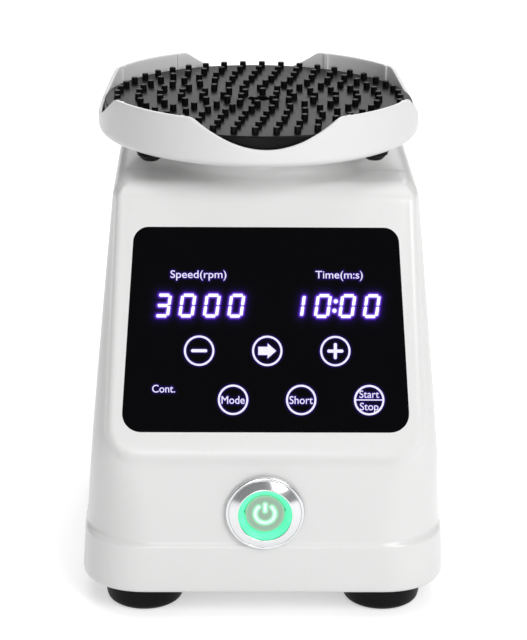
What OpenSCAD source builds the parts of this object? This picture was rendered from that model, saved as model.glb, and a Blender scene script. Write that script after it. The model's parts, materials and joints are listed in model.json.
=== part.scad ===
// Vortex mixer with a round orbiting head, a leaning control face and a push power button.
// Millimetres, +Z up, front towards -Y. The origin is on the floor under the motor shaft.

/* [Body shell] */
// Width of the plinth at its foot
body_w = 116; // [110:1:124]
// Depth of the plinth
body_d = 133; // [128:1:140]
// Height of the shell from its lower rim to the deck
body_h = 125; // [122:1:130]
// Width of the deck
deck_w = 94.6; // [90:0.2:100]
// Height of the plinth
plinth_h = 26; // [22:1:28]
// How far each side of the plinth draws in over its height
plinth_draft = 1.5; // [0.5:0.25:2.5]
// Ledge between the plinth and the column above it
plinth_step = 0.5; // [0.3:0.1:1]
// Height of the fold where the front begins to lean back
fold_h = 47; // [45:1:50]
// Width of the column at the fold
fold_w = 108.6; // [106:0.2:110]
// Lean of the control face from the vertical
panel_lean = 20; // [18:0.5:22]
// Lean of the rear face above the fold
rear_lean = 10; // [8:0.5:12]
// Plan radius of the plinth's corners
corner_r = 19; // [16:1:22]
// Plan radius of the column's corners at the ledge
column_r = 22; // [18:1:24]
// Plan radius of the column's corners at the fold
fold_r = 15; // [12:0.5:18]
// Plan radius of the shoulder corners
shoulder_r = 6; // [5:0.5:8]
// Round along the edge of the deck
crown = 3; // [2:0.5:4]
// Wall of the shell
wall = 3; // [2.6:0.1:3.4]
// Clearance between seated pieces
fit_gap = 0.25; // [0.15:0.05:0.3]

/* [Raised control field] */
// How far the field stands proud of the front
field_proud = 0.8; // [0.5:0.1:1.2]
// Width of the field at its lower edge
field_w_low = 99.4; // [96:0.2:102]
// Width of the field at its upper edge
field_w_top = 93; // [90:0.2:95]
// Radius of the field's lower corners
field_r = 11; // [8:1:14]

/* [Neck] */
// Height of the neck above the deck
neck_h = 6; // [4:0.5:7]
// Outer radius at the top of the neck
neck_r = 33; // [31:0.5:34]
// Outer radius where the neck flares into the deck
neck_foot_r = 37.6; // [36.5:0.1:38.2]
// Radius of the opening through the neck
neck_bore_r = 27; // [25:0.5:28]

/* [Base and feet] */
// Height of the feet under the shell
foot_h = 9; // [8:0.5:11]
// Top radius of a foot
foot_r = 13; // [12:0.5:14]
// Draw-in of a foot from top to bottom
foot_draft = 1; // [0.5:0.25:2]
// Distance from the plinth's side to a foot's centre
foot_inset_x = 20; // [18:0.5:21]
// Distance from the plinth's front or rear to a foot's centre
foot_inset_y = 17; // [16.5:0.5:18]
// Thickness of the base plate
base_t = 2.5; // [2:0.1:3]
// Radius of the bosses that take the foot screws
boss_r = 4.5; // [4:0.1:5]
// Shank radius of the foot screws
foot_screw_r = 1.6; // [1.4:0.1:1.8]
// Length of the foot screws
foot_screw_l = 22; // [20:1:24]
// Width of the ballast block
ballast_w = 84; // [76:1:88]
// Depth of the ballast block
ballast_d = 70; // [66:1:72]
// Thickness of the ballast block
ballast_h = 12; // [10:0.5:12.5]
// Radius of the countersunk ballast screws
ballast_screw_r = 2; // [1.6:0.1:2.2]

/* [Control glass] */
// Width of the glass along its lower edge
glass_w_low = 89.3; // [84:0.2:90]
// Width of the glass along its upper edge
glass_w_top = 81.8; // [78:0.1:83]
// Length of the glass up the slope
glass_l = 63.6; // [60:0.2:65]
// Distance from the fold to the glass, up the slope
glass_rise = 6.7; // [6:0.1:8]
// Corner radius of the glass
glass_r = 5; // [4:0.5:7]
// Thickness of the glass
glass_t = 1.8; // [1.5:0.1:2]
// How far the glass stands proud of the field
glass_proud = 0.2; // [0.1:0.05:0.4]
// Thickness of the adhesive gasket under the glass
gasket_t = 0.4; // [0.3:0.1:0.6]
// Width of the ledge that carries the gasket
ledge_w = 4; // [3.5:0.25:5.5]
// Height of the row of three keys above the lower edge
key_row_high = 25.3; // [24:0.1:27]
// Height of the row of mode keys above the lower edge
key_row_low = 10.2; // [9:0.1:12]
// Distance between neighbouring keys
key_pitch = 21; // [19:0.5:22]
// Radius of a touch spring
touch_r = 3.6; // [3:0.1:4]

/* [Display board] */
// Width of the control board
board_w = 76; // [72:1:80]
// Thickness of the circuit boards
board_t = 1.6; // [1.2:0.1:2]
// Depth of the control board behind the column's face
board_depth = 9; // [8.5:0.1:9.5]
// Sideways distance of the board screws from the middle
standoff_x = 32; // [28:1:34]
// Radius of the board standoffs
standoff_r = 2.8; // [2.5:0.1:3]
// Width of a four-digit display
display_w = 29; // [27:0.5:29]
// Height of a display
display_h = 13; // [12:0.5:14]
// Height of the displays above the glass's lower edge
display_rise = 39.2; // [38:0.1:40]
// Distance of the speed display from the middle
speed_x = 20.1; // [19:0.1:21]
// Distance of the time display from the middle
time_x = 22.5; // [21:0.1:23]

/* [Power button] */
// Height of the button's axis above the shell's lower rim
button_rise = 27.8; // [27:0.1:29]
// Radius of the bezel's flange
bezel_r = 12.4; // [12:0.1:13]
// Height of the bezel's crest above its gasket
bezel_t = 2.6; // [2.2:0.1:2.8]
// Thickness of the flange at its rim
bezel_rim_t = 0.5; // [0.4:0.1:0.9]
// Radius of the bezel's threaded barrel
barrel_r = 10.9; // [10.5:0.1:11]
// Length of the barrel
barrel_l = 17; // [16:0.5:19]
// Radius of the button's bore in the bezel
bezel_bore_r = 8.4; // [8.2:0.1:8.6]
// Radius of the moving cap
cap_r = 6.2; // [5.8:0.1:6.3]
// How far the cap's face lies behind the bezel's crest
cap_sunk = 1.8; // [1.5:0.1:2]
// Length of the cap
cap_l = 8.2; // [8:0.1:9]
// Travel of the cap
cap_travel = 1.5; // [1:0.1:2]
// Across the corners of the bezel nut
nut_r = 14; // [13:0.5:14.5]

/* [Mains inlet] */
// Width of the inlet's flange
inlet_w = 50; // [48:0.5:52]
// Height of the inlet's flange
inlet_h = 34; // [32:0.5:36]
// Thickness of the flange
inlet_t = 2.2; // [2:0.1:2.5]
// Width of the inlet's body
inlet_body_w = 27; // [26.5:0.1:28]
// Height of the inlet's body
inlet_body_h = 29; // [28.5:0.1:30]
// Depth of the inlet's body behind the flange
inlet_depth = 24; // [23:0.5:25]
// Width of the connector well
socket_w = 24; // [23.6:0.1:24.4]
// Height of the connector well
socket_h = 16; // [15.6:0.1:16.4]
// Depth of the connector well
socket_depth = 17; // [16:0.5:18]
// Height of the well's centre above the flange's centre
socket_rise = 4.8; // [4.4:0.1:5]
// Spacing of the live and neutral pins
pin_pitch = 14; // [13.5:0.1:14.5]
// Width of the fuse drawer
drawer_w = 23; // [22.6:0.1:23.4]
// Height of the fuse drawer
drawer_h = 7.4; // [7:0.1:7.8]
// Depth of the fuse drawer behind the flange
drawer_depth = 14; // [13:0.5:15]
// Drop of the drawer's centre below the flange's centre
drawer_drop = 8.6; // [8.4:0.1:8.8]
// How far the drawer's face stands proud of the flange
drawer_proud = 0.8; // [0.5:0.1:1]
// Spacing of the flange screws
inlet_screw_pitch = 40; // [39:0.5:41]

/* [Power supply] */
// Width of the supply board
supply_w = 40; // [38:0.5:41]
// Length of the supply board
supply_l = 64; // [62:0.5:68]
// Height of the standoffs under the supply board
supply_rise = 4; // [3.5:0.1:5]
// Height of the tallest part on the supply board
supply_part_h = 9.5; // [8:0.1:10]

/* [Carriage and motor] */
// Height of the carriage plate above the shell's lower rim
carriage_rise = 77; // [76:0.5:78]
// Thickness of the carriage plate
plate_t = 4; // [3.5:0.1:5]
// Width and depth of the carriage plate
plate_w = 66; // [64:0.5:68]
// Distance of the guide posts from each centre line
post_xy = 25; // [24.5:0.25:26]
// Radius of the guide posts under the spring collar
post_r = 4; // [3.5:0.1:4.5]
// Radius of the guide rods above the spring collar
rod_r = 3; // [2.8:0.1:3.2]
// Running clearance between rod and bush
rod_play = 0.05; // [0.03:0.01:0.08]
// Free height of the lift springs
spring_h = 18; // [16:0.5:22]
// Press travel of the head
press_travel = 2; // [1.5:0.1:2.4]
// Radius of the motor can
can_r = 24; // [23:0.5:25]
// Length of the motor can
can_h = 36; // [35:0.5:37]
// Wall of the motor can
can_wall = 1.8; // [1.5:0.1:2]
// Thickness of the motor's end bell
bell_t = 3; // [2.5:0.1:3.5]
// Radius of the motor shaft
shaft_r = 4; // [3.5:0.1:4.5]
// Outer radius of the shaft bearings
shaft_bearing_r = 11; // [10.5:0.1:11.5]
// Width of the shaft bearings
shaft_bearing_w = 7; // [6:0.1:7.5]
// Inner radius of the stator
stator_bore_r = 13.5; // [13:0.1:14]
// Air gap between magnet and stator
air_gap = 0.7; // [0.5:0.1:0.9]
// Length of the stator
stator_h = 20; // [18:0.5:21]

/* [Crank and head] */
// Offset of the head from the motor shaft, half the orbit's diameter
orbit_r = 2; // [1.5:0.1:2.2]
// Direction in which the crank points at rest, in degrees
rest_turn = 197.5; // [0:0.5:360]
// Height of the crank hub
crank_h = 13; // [12:0.5:14]
// Radius of the crank hub
crank_r = 9; // [8:0.5:10]
// Radius of the counterweight
counterweight_r = 20; // [18:0.5:22]
// Radius of the crank pin
crank_pin_r = 5; // [4.5:0.1:5.5]
// Outer radius of the head bearing
head_bearing_r = 13; // [12.5:0.1:13.5]
// Width of the head bearing
head_bearing_w = 8; // [7:0.1:9]
// Wall of the head hub round its bearing
hub_wall = 3.5; // [3:0.1:4]
// Radius of the head hub's stem
stem_r = 11; // [10:0.25:12]
// Radius of the flange under the tray
hub_flange_r = 20; // [18:0.5:22]
// Thickness of the flange under the tray
hub_flange_t = 3; // [2.5:0.1:3.5]

/* [Tray and pad] */
// Gap between the neck and the tray
tray_gap = 3.3; // [3:0.1:4]
// Outer radius of the tray
tray_r = 51.5; // [50:0.1:53]
// Wall of the tray
tray_wall = 1.2; // [1:0.1:1.6]
// Thickness of the tray's floor
tray_floor = 2; // [1.6:0.1:2.4]
// Round at the tray's lower edge
tray_round = 2.4; // [1.5:0.1:3]
// Height of the four lobes above the tray's underside
lobe_h = 14.7; // [13:0.1:16]
// Height of the rim at the bottom of the four cut-outs
cutout_h = 5.7; // [4.5:0.1:6.5]
// Half width of a cut-out at the lobes' height
cutout_half = 24; // [22:0.5:26]
// Share of that half width that the low curve takes; the shoulder takes the rest
cutout_low = 0.9; // [0.8:0.01:0.96]
// Angle from the middle of a lobe to each of its two inner ribs
rib_angle = 15; // [13:0.5:16]
// Width of a rib
rib_w = 1.2; // [0.8:0.1:1.6]
// Depth of a rib from the wall
rib_d = 0.5; // [0.4:0.1:0.6]
// Turn of the tray and pad on the head at rest
tray_turn = 1.8; // [0:0.1:4]
// Radius of the pad
pad_r = 49.5; // [48:0.1:49.7]
// Thickness of the pad
pad_t = 7.3; // [6:0.1:8]
// Radius of a pad pin
pin_r = 1.1; // [0.9:0.05:1.2]
// Height of the pad's pins
pin_h = 2; // [1.8:0.1:2.6]
// Distance between the rings of pins
ring_pitch = 6.85; // [6.7:0.05:6.9]
// Radius of the innermost ring of pins
inner_ring_r = 5.9; // [5:0.1:6.5]
// Margin from the outer ring to the pad's edge
pin_margin = 3.9; // [3.5:0.1:4]
// Radius of the hole in the middle of the pad
pad_hole_r = 3.4; // [3.2:0.1:4]
// Distance of the pad plugs from the head's axis
plug_radius = 45.2; // [44:0.1:45.4]
// Direction of the first pad plug, in degrees
plug_turn = 39.5; // [38:0.5:45]
// Radius of a pad plug's head
plug_r = 4.5; // [4:0.1:4.6]
// Depth of a pad plug under the tray
plug_h = 3.1; // [2.5:0.1:3.2]

/* [Hidden] */
$fn = 72;
hull_fn = 32;
skin = 0.02;
over = 1;
turn_step = 12;

// Heights above the floor
body_z = foot_h;
plinth_z = body_z + plinth_h;
fold_z = body_z + fold_h;
deck_z = body_z + body_h;
neck_z = deck_z + neck_h;
tray_z = neck_z + tray_gap;
pad_z = tray_z + tray_floor + fit_gap;
base_top = body_z + base_t;
ballast_top = base_top + ballast_h;
button_z = body_z + button_rise;
front_y = -body_d / 2;
rear_y = body_d / 2;
column_front = front_y + plinth_step;
column_rear = rear_y - plinth_step;
foot_x = body_w / 2 - foot_inset_x;
foot_y = body_d / 2 - foot_inset_y;
corners = [for (sx = [-1, 1]) for (sy = [-1, 1]) [sx, sy]];

// ---- shared shapes ----

// Flat outline with round corners, drawn from true arcs
module round_rect(w, d, r) {
    square([w - 2 * r, d], center = true);
    square([w, d - 2 * r], center = true);
    for (c = corners) translate([c[0] * (w / 2 - r), c[1] * (d / 2 - r)]) circle(r = r);
}

module round_plate(w, d, r, t) {
    linear_extrude(t) round_rect(w, d, r);
}

module ring(r_out, r_in, h) {
    difference() {
        cylinder(r = r_out, h = h);
        translate([0, 0, -over]) cylinder(r = r_in, h = h + 2 * over);
    }
}

// Pan-head screw, head up: the underside of the head is at z = 0
module pan_screw(r, l, head_r, head_h) {
    difference() {
        union() {
            cylinder(r = head_r, h = head_h);
            translate([0, 0, -l]) cylinder(r = r, h = l + skin);
        }
        for (a = [0, 90]) rotate([0, 0, a]) translate([-head_r * 0.6, -head_r * 0.12, head_h * 0.5])
            cube([head_r * 1.2, head_r * 0.24, head_h]);
    }
}

// Compression spring standing on z = 0, as a swept round wire
module coil_spring(r, wire_r, h, turns) {
    sides = 6;
    rings = turns * turn_step;
    rise = (h - 2 * wire_r) / rings;
    points = [for (i = [0 : rings]) for (j = [0 : sides - 1])
        let (a = 360 * i / turn_step, b = 360 * j / sides, d = r + wire_r * cos(b))
        [d * cos(a), d * sin(a), wire_r + rise * i + wire_r * sin(b)]];
    walls = [for (i = [0 : rings - 1]) for (j = [0 : sides - 1])
        let (k = (j + 1) % sides)
        [i * sides + j, (i + 1) * sides + j, (i + 1) * sides + k, i * sides + k]];
    first = [for (j = [0 : sides - 1]) j];
    last = [for (j = [sides - 1 : -1 : 0]) rings * sides + j];
    polyhedron(points, concat([first], walls, [last]), convexity = 10);
}

// Four thin discs that mark one level of a hulled form
module level(w, y_low, y_high, z, r) {
    for (sx = [-1, 1]) for (y = [y_low + r, y_high - r])
        translate([sx * (w / 2 - r), y, z]) cylinder(r = r, h = skin, $fn = hull_fn);
}

// Frame on the leaning face: X right, Y up the slope, Z outwards
module on_panel(z = 0) {
    translate([0, column_front, fold_z]) rotate([90 - panel_lean, 0, 0])
        translate([0, 0, z]) children();
}

// Frame on the power button's axis: Z points into the body
module on_button(y = 0) {
    translate([0, front_y + y, button_z]) rotate([-90, 0, 0]) children();
}

// Frame on the inlet's axis: X right seen from the rear, Y up, Z out of the rear face
module on_inlet(y = 0) {
    translate([0, rear_y - y, button_z]) rotate([90, 0, 180]) children();
}

// ---- housing ----

module plinth_form(inset) {
    w_top = body_w - 2 * plinth_draft;
    hull() {
        level(body_w - 2 * inset, front_y + inset, rear_y - inset,
            body_z - (inset > 0 ? over : 0), corner_r - inset);
        level(w_top - 2 * inset, front_y + inset, rear_y - inset,
            plinth_z - skin, corner_r - inset);
    }
}

function column_w(z) = z < fold_z
    ? fold_w + (body_w - 2 * plinth_draft - 2 * plinth_step - fold_w) * (fold_z - z) / (fold_z - plinth_z)
    : fold_w + (deck_w - fold_w) * (z - fold_z) / (deck_z - crown - fold_z);
function column_y0(z) = column_front + max(0, z - fold_z) * tan(panel_lean);
function column_y1(z) = column_rear - max(0, z - fold_z) * tan(rear_lean);

module column_form(inset) {
    bottom = plinth_z - (inset > 0 ? over : wall);
    brow = deck_z - crown;
    hull() {
        level(column_w(plinth_z) - 2 * inset, column_y0(plinth_z) + inset,
            column_y1(plinth_z) - inset, bottom, column_r - inset);
        level(fold_w - 2 * inset, column_y0(fold_z) + inset,
            column_y1(fold_z) - inset, fold_z, fold_r - inset);
        level(deck_w - 2 * inset, column_y0(brow) + inset,
            column_y1(brow) - inset, brow - inset, shoulder_r - inset);
        level(deck_w - 2 * crown - 2 * inset, column_y0(deck_z) + crown + inset,
            column_y1(deck_z) - crown - inset, deck_z - skin - inset, shoulder_r - crown);
    }
}

// Raised field round the glass, rooted in the column behind it
module panel_field() {
    top = (deck_z - crown - fold_z) / cos(panel_lean);
    root = 14;
    on_panel() hull() {
        for (sx = [-1, 1]) {
            translate([sx * (field_w_low / 2 - field_r), field_r, field_proud - skin])
                cylinder(r = field_r - field_proud, h = skin, $fn = hull_fn);
            translate([sx * (field_w_low / 2 - field_r), field_r, -field_proud])
                cylinder(r = field_r, h = skin, $fn = hull_fn);
            translate([sx * (field_w_top / 2 - crown), top - crown, field_proud - skin])
                cylinder(r = crown - field_proud, h = skin, $fn = hull_fn);
            translate([sx * (field_w_top / 2 - crown), top - crown, -field_proud])
                cylinder(r = crown, h = skin, $fn = hull_fn);
            translate([sx * (fold_w / 2 - root), root + field_r, -root])
                cylinder(r = field_r, h = skin, $fn = hull_fn);
            translate([sx * (deck_w / 2 - crown - 3), top - root, -root])
                cylinder(r = crown, h = skin, $fn = hull_fn);
        }
    }
}

// Neck with a concave flare down to the deck
module neck_form() {
    drop = neck_foot_r - neck_r;
    rotate_extrude() polygon(concat(
        [[neck_bore_r, deck_z - wall], [neck_foot_r, deck_z - wall]],
        [for (a = [0 : 15 : 90]) [neck_foot_r - drop * sin(a), neck_z - 1 - (neck_h - 1) * cos(a)]],
        [[neck_r - 1, neck_z], [neck_bore_r, neck_z]]));
}

// Flat seat for the inlet's flange across the plinth's ledge
module inlet_seat() {
    on_inlet(wall) round_plate(inlet_w + 2, inlet_h + 2, 3, wall);
}

// Glass outline on the leaning face, drawn in by a margin
module glass_outline(margin) {
    r = max(glass_r - margin, 1);
    hull() for (sx = [-1, 1]) {
        translate([sx * (glass_w_low / 2 - margin - r), glass_rise + margin + r])
            circle(r = r, $fn = hull_fn);
        translate([sx * (glass_w_top / 2 - margin - r), glass_rise + glass_l - margin - r])
            circle(r = r, $fn = hull_fn);
    }
}

glass_top = field_proud + glass_proud;
recess_floor = glass_top - glass_t - gasket_t;
standoff_low = glass_rise + ledge_w - standoff_r - 3;
standoff_high = glass_rise + glass_l - ledge_w + standoff_r + 2;
standoffs = [for (sx = [-1, 1]) for (y = [standoff_low, standoff_high]) [sx * standoff_x, y]];

module foot_boss() {
    rib = foot_screw_r;
    for (c = corners) translate([c[0] * foot_x, c[1] * foot_y, base_top]) {
        cylinder(r = boss_r, h = plinth_h - base_t);
        translate([-rib / 2, c[1] > 0 ? 0 : -foot_inset_y, 0])
            cube([rib, foot_inset_y, plinth_h - base_t - rib]);
    }
}

module board_standoffs() {
    for (p = standoffs) on_panel(-board_depth) translate([p[0], p[1], 0])
        cylinder(r = standoff_r, h = board_depth);
}

module inlet_bosses() {
    for (sx = [-1, 1]) on_inlet(wall + 5) translate([sx * inlet_screw_pitch / 2, 0, 0])
        cylinder(r = 3.5, h = wall + 5 - plinth_step);
}

module housing() {
    color("white") difference() {
        union() {
            plinth_form(0);
            column_form(0);
            panel_field();
            neck_form();
            inlet_seat();
        }
        difference() {
            union() {
                plinth_form(wall);
                column_form(wall);
            }
            foot_boss();
            board_standoffs();
            inlet_bosses();
            inlet_seat();
        }
        translate([0, 0, deck_z - wall - over]) cylinder(r = neck_bore_r, h = neck_h + wall + 2 * over);
        on_panel(recess_floor) linear_extrude(glass_t + gasket_t + over) glass_outline(-fit_gap);
        on_panel(-wall - over) linear_extrude(wall + 2 * over) glass_outline(ledge_w);
        on_button(-over) cylinder(r = barrel_r + fit_gap, h = wall + plinth_step + 2 * over);
        on_inlet(wall + over) round_plate(inlet_body_w + 2 * fit_gap, inlet_body_h + 2 * fit_gap, 1,
            wall + 2 * over);
        for (sx = [-1, 1]) on_inlet(wall + 4) translate([sx * inlet_screw_pitch / 2, 0, 0])
            cylinder(r = inlet_screw_r + 0.1, h = wall + 4 + over);
        for (c = corners) translate([c[0] * foot_x, c[1] * foot_y, base_top - over])
            cylinder(r = foot_screw_r + 0.1, h = foot_screw_l - foot_h / 2);
        for (p = standoffs) on_panel(-board_depth - over) translate([p[0], p[1], 0])
            cylinder(r = board_screw_r + 0.1, h = board_screw_l);
    }
}

// ---- base, ballast and feet ----

module base_plate() {
    margin = wall + fit_gap;
    color("whitesmoke") difference() {
        translate([0, 0, body_z])
            round_plate(body_w - 2 * margin, body_d - 2 * margin, corner_r - margin, base_t);
        for (c = corners) translate([c[0] * foot_x, c[1] * foot_y, body_z - over])
            cylinder(r = foot_screw_r + 0.2, h = base_t + 2 * over);
        ballast_screw_holes(body_z - over, 0.2);
    }
}

ballast_screw_x = ballast_w / 2 - 6;
ballast_screw_y = ballast_d / 2 - 6;
ballast_screw_l = 8;

module ballast_screw_holes(z, play) {
    for (c = corners) translate([c[0] * ballast_screw_x, c[1] * ballast_screw_y, 0]) {
        translate([0, 0, z]) cylinder(r = ballast_screw_r + play, h = ballast_screw_l + base_t);
        translate([0, 0, body_z - skin])
            cylinder(r1 = 2 * ballast_screw_r + play, r2 = ballast_screw_r + play, h = ballast_screw_r);
    }
}

module ballast_weight() {
    color("dimgray") difference() {
        translate([0, 0, base_top]) round_plate(ballast_w, ballast_d, 6, ballast_h);
        for (c = corners) {
            translate([c[0] * ballast_screw_x, c[1] * ballast_screw_y, base_top - over])
                cylinder(r = ballast_screw_r + 0.1, h = ballast_screw_l + over);
            translate([c[0] * post_xy, c[1] * post_xy, ballast_top - stud_l - fit_gap])
                cylinder(r = rod_r + rod_play, h = stud_l + fit_gap + over);
            translate([c[0] * supply_screw_x, c[1] * supply_screw_y, ballast_top - 3])
                cylinder(r = 1.3, h = 3 + over);
        }
    }
}

module ballast_screws() {
    color("silver") for (c = corners) translate([c[0] * ballast_screw_x, c[1] * ballast_screw_y, 0])
        difference() {
            union() {
                translate([0, 0, body_z + 0.2])
                    cylinder(r1 = 2 * ballast_screw_r - 0.2, r2 = ballast_screw_r, h = ballast_screw_r - 0.2);
                translate([0, 0, body_z + 0.2])
                    cylinder(r = ballast_screw_r, h = ballast_screw_l + base_t - 1);
            }
            translate([-1.6, -0.3, body_z]) cube([3.2, 0.6, 0.9]);
        }
}

// Tapered rubber foot with a stepped hole for its screw
foot_head_r = 3.4;
foot_seat = foot_h / 2;

module foot(sx, sy) {
    low_r = foot_r - foot_draft;
    round = 1.5;
    color([0.08, 0.08, 0.08]) translate([sx * foot_x, sy * foot_y, 0]) rotate_extrude()
        polygon(concat(
            [[foot_head_r + 0.3, 0]],
            [for (a = [0 : 15 : 90]) [low_r - round + round * sin(a), round - round * cos(a)]],
            [[foot_r, body_z], [foot_screw_r + 0.2, body_z], [foot_screw_r + 0.2, foot_seat],
             [foot_head_r + 0.3, foot_seat]]));
}

module foot_front_left() { foot(-1, -1); }
module foot_front_right() { foot(1, -1); }
module foot_rear_left() { foot(-1, 1); }
module foot_rear_right() { foot(1, 1); }

module foot_screws() {
    color("silver") for (c = corners) translate([c[0] * foot_x, c[1] * foot_y, foot_seat])
        rotate([180, 0, 0]) pan_screw(foot_screw_r, foot_screw_l, foot_head_r, 2.4);
}

// ---- control glass and its board ----

module control_glass() {
    color([0.02, 0.02, 0.03]) on_panel(glass_top - glass_t) linear_extrude(glass_t) glass_outline(0);
}

module glass_gasket() {
    color([0.1, 0.1, 0.1]) on_panel(recess_floor) linear_extrude(gasket_t) difference() {
        glass_outline(0);
        glass_outline(ledge_w);
    }
}

board_screw_r = 1.2;
board_screw_l = 6;
board_margin = standoff_r + 1;

module control_board() {
    low = standoff_low - board_margin;
    high = standoff_high + board_margin;
    color("darkgreen") on_panel(-board_depth - board_t) difference() {
        translate([-board_w / 2, low, 0]) cube([board_w, high - low, board_t]);
        for (p = standoffs) translate([p[0], p[1], -over])
            cylinder(r = board_screw_r + 0.2, h = board_t + 2 * over);
    }
}

// Four-digit module: a black block with a raised light plate over each digit
module display_block(x, digits) {
    depth = board_depth + glass_top - glass_t - 0.6;
    pitch = display_w / digits;
    on_panel(-board_depth) translate([x - display_w / 2, glass_rise + display_rise - display_h / 2, 0]) {
        cube([display_w, display_h, depth - 0.5]);
        for (i = [0 : digits - 1]) translate([(i + 0.15) * pitch, display_h * 0.15, depth - 0.5 - skin])
            cube([pitch * 0.7, display_h * 0.7, 0.5 + skin]);
    }
}

module speed_display() { color("lavender") display_block(-speed_x, 4); }
module time_display() { color("lavender") display_block(time_x, 4); }

keys = concat(
    [for (i = [-1 : 1]) [i * key_pitch, key_row_high]],
    [for (i = [-0.5 : 1 : 1.5]) [i * key_pitch, key_row_low]]);

// Sprung sensing pads that carry each key's touch field up to the glass
module touch_springs() {
    lift = board_depth + glass_top - glass_t - 0.3;
    color("silver") for (k = keys) on_panel(-board_depth) translate([k[0], glass_rise + k[1], 0])
        difference() {
            union() {
                cylinder(r = touch_r, h = 0.6);
                cylinder(r = touch_r * 0.6, h = lift);
                translate([0, 0, lift - 0.6]) cylinder(r = touch_r, h = 0.6);
            }
            translate([0, 0, -over]) cylinder(r = touch_r * 0.35, h = lift + 2 * over);
        }
}

module board_screws() {
    color("silver") for (p = standoffs) on_panel(-board_depth - board_t) translate([p[0], p[1], 0])
        rotate([180, 0, 0]) pan_screw(board_screw_r, board_screw_l, 2.3, 1.6);
}

// ---- power button ----

ring_clear = 0.3;
gasket_squash = 0.4;

bezel_crest = -bezel_t - gasket_squash;
bezel_shoulder_r = bezel_r - 1.2;
bezel_nut_t = 3;

// The flange rises from its rim over a shoulder to a crest round the bore
module power_button_bezel() {
    bevel = 0.25;
    rim = bezel_t - bezel_rim_t;
    color("silver") on_button(bezel_crest) rotate_extrude() polygon([
        [bezel_bore_r + bevel, 0], [bezel_shoulder_r, rim - 0.8], [bezel_r - bevel, rim - bevel],
        [bezel_r, rim], [bezel_r, bezel_t], [barrel_r, bezel_t],
        [barrel_r, bezel_t + gasket_squash + barrel_l],
        [bezel_bore_r, bezel_t + gasket_squash + barrel_l], [bezel_bore_r, bevel]]);
}

module power_button_gasket() {
    color([0.1, 0.1, 0.1]) on_button(-gasket_squash)
        ring(bezel_r - 0.6, barrel_r + fit_gap, gasket_squash);
}

module power_button_nut() {
    color("silver") on_button(wall + plinth_step) difference() {
        cylinder(r = nut_r, h = bezel_nut_t, $fn = 6);
        translate([0, 0, -over]) cylinder(r = barrel_r + rod_play, h = bezel_nut_t + 2 * over);
    }
}

cap_face = bezel_crest + cap_sunk;
cap_back = cap_face + cap_l;

// Light ring that slopes from the bezel's crest down to the cap, on a sleeve that guides the cap
module power_button_ring() {
    outer_r = bezel_bore_r - fit_gap;
    inner_r = cap_r + ring_clear;
    crest = bezel_crest + 0.2;
    color([0.3, 1, 0.65]) on_button() rotate_extrude() polygon([
        [inner_r, cap_face - 0.2], [outer_r - 0.4, crest], [outer_r, crest + 0.3],
        [outer_r, cap_back - 1], [inner_r, cap_back - 1]]);
}

block_neck_l = 6;
block_l = 8;
block_z = barrel_l + 4 - block_neck_l;
block_seat = 2;
tag = [0.8, 4, 6];
tag_pitch = 5;
plunger_r = 3;
plunger_gap = 0.2;

// Cap with a plunger that ends just short of the contact block when the button is pressed
module power_button_cap() {
    bevel = 0.3;
    tip = block_z - cap_face - cap_travel - plunger_gap;
    color([0.68, 0.74, 0.68]) on_button(cap_face) rotate_extrude() polygon([
        [0, tip], [0, 0], [cap_r - bevel, 0], [cap_r, bevel], [cap_r, cap_l],
        [plunger_r, cap_l], [plunger_r, tip]]);
}

module power_button_spring() {
    color("silver") on_button(cap_back + 0.2)
        coil_spring(cap_r - 1.4, 0.35, block_z - cap_back - 0.4, 5);
}

// Contact block: a neck in the barrel, a drum behind it and three solder tags
module power_button_block() {
    color([0.12, 0.12, 0.12]) on_button(block_z) {
        cylinder(r = bezel_bore_r - fit_gap, h = block_neck_l);
        translate([0, 0, block_seat + fit_gap]) cylinder(r = barrel_r - 0.4, h = block_l);
        for (i = [-1 : 1]) translate([i * tag_pitch - tag[0] / 2, -tag[1] / 2, block_seat + block_l])
            cube(tag);
    }
}

// ---- mains inlet ----

inlet_screw_r = 1.5;
drawer_play = 0.3;
pin_w = 4;
pin_t = 2;
pin_fit = 0.1;
pin_tail_l = 8;
pin_set_back = 4;
drawer_grip = 2;

module socket_well(depth) {
    cut = 3;
    translate([0, socket_rise, inlet_t - depth]) linear_extrude(depth + over) polygon([
        [-socket_w / 2, -socket_h / 2], [socket_w / 2, -socket_h / 2],
        [socket_w / 2, socket_h / 2 - cut], [socket_w / 2 - cut, socket_h / 2],
        [-socket_w / 2 + cut, socket_h / 2], [-socket_w / 2, socket_h / 2 - cut]]);
}

module inlet_body() {
    well_w = drawer_w + 2 * drawer_play;
    well_h = drawer_h + 2 * drawer_play;
    color([0.06, 0.06, 0.06]) on_inlet() difference() {
        union() {
            round_plate(inlet_w, inlet_h, 3, inlet_t);
            translate([0, 0, -inlet_depth]) round_plate(inlet_body_w, inlet_body_h, 1, inlet_depth + skin);
        }
        socket_well(socket_depth);
        translate([-well_w / 2, -drawer_drop - well_h / 2, -drawer_depth - drawer_play])
            cube([well_w, well_h, drawer_depth + drawer_play + inlet_t + over]);
        for (i = [-1 : 1])
            translate([i * pin_pitch / 2, socket_rise + pin_shift(i), -inlet_depth - over])
                translate([-(pin_w + pin_fit) / 2, -(pin_t + pin_fit) / 2, 0])
                    cube([pin_w + pin_fit, pin_t + pin_fit, inlet_depth + over]);
        for (sx = [-1, 1]) translate([sx * inlet_screw_pitch / 2, 0, 0]) {
            translate([0, 0, -over]) cylinder(r = inlet_screw_r + 0.2, h = inlet_t + 2 * over);
            translate([0, 0, inlet_t - 1.5])
                cylinder(r1 = inlet_screw_r + 0.2, r2 = inlet_screw_r + 1.7 + skin, h = 1.5 + skin);
        }
    }
}

function pin_shift(i) = i == 0 ? 2 : -2;

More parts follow.
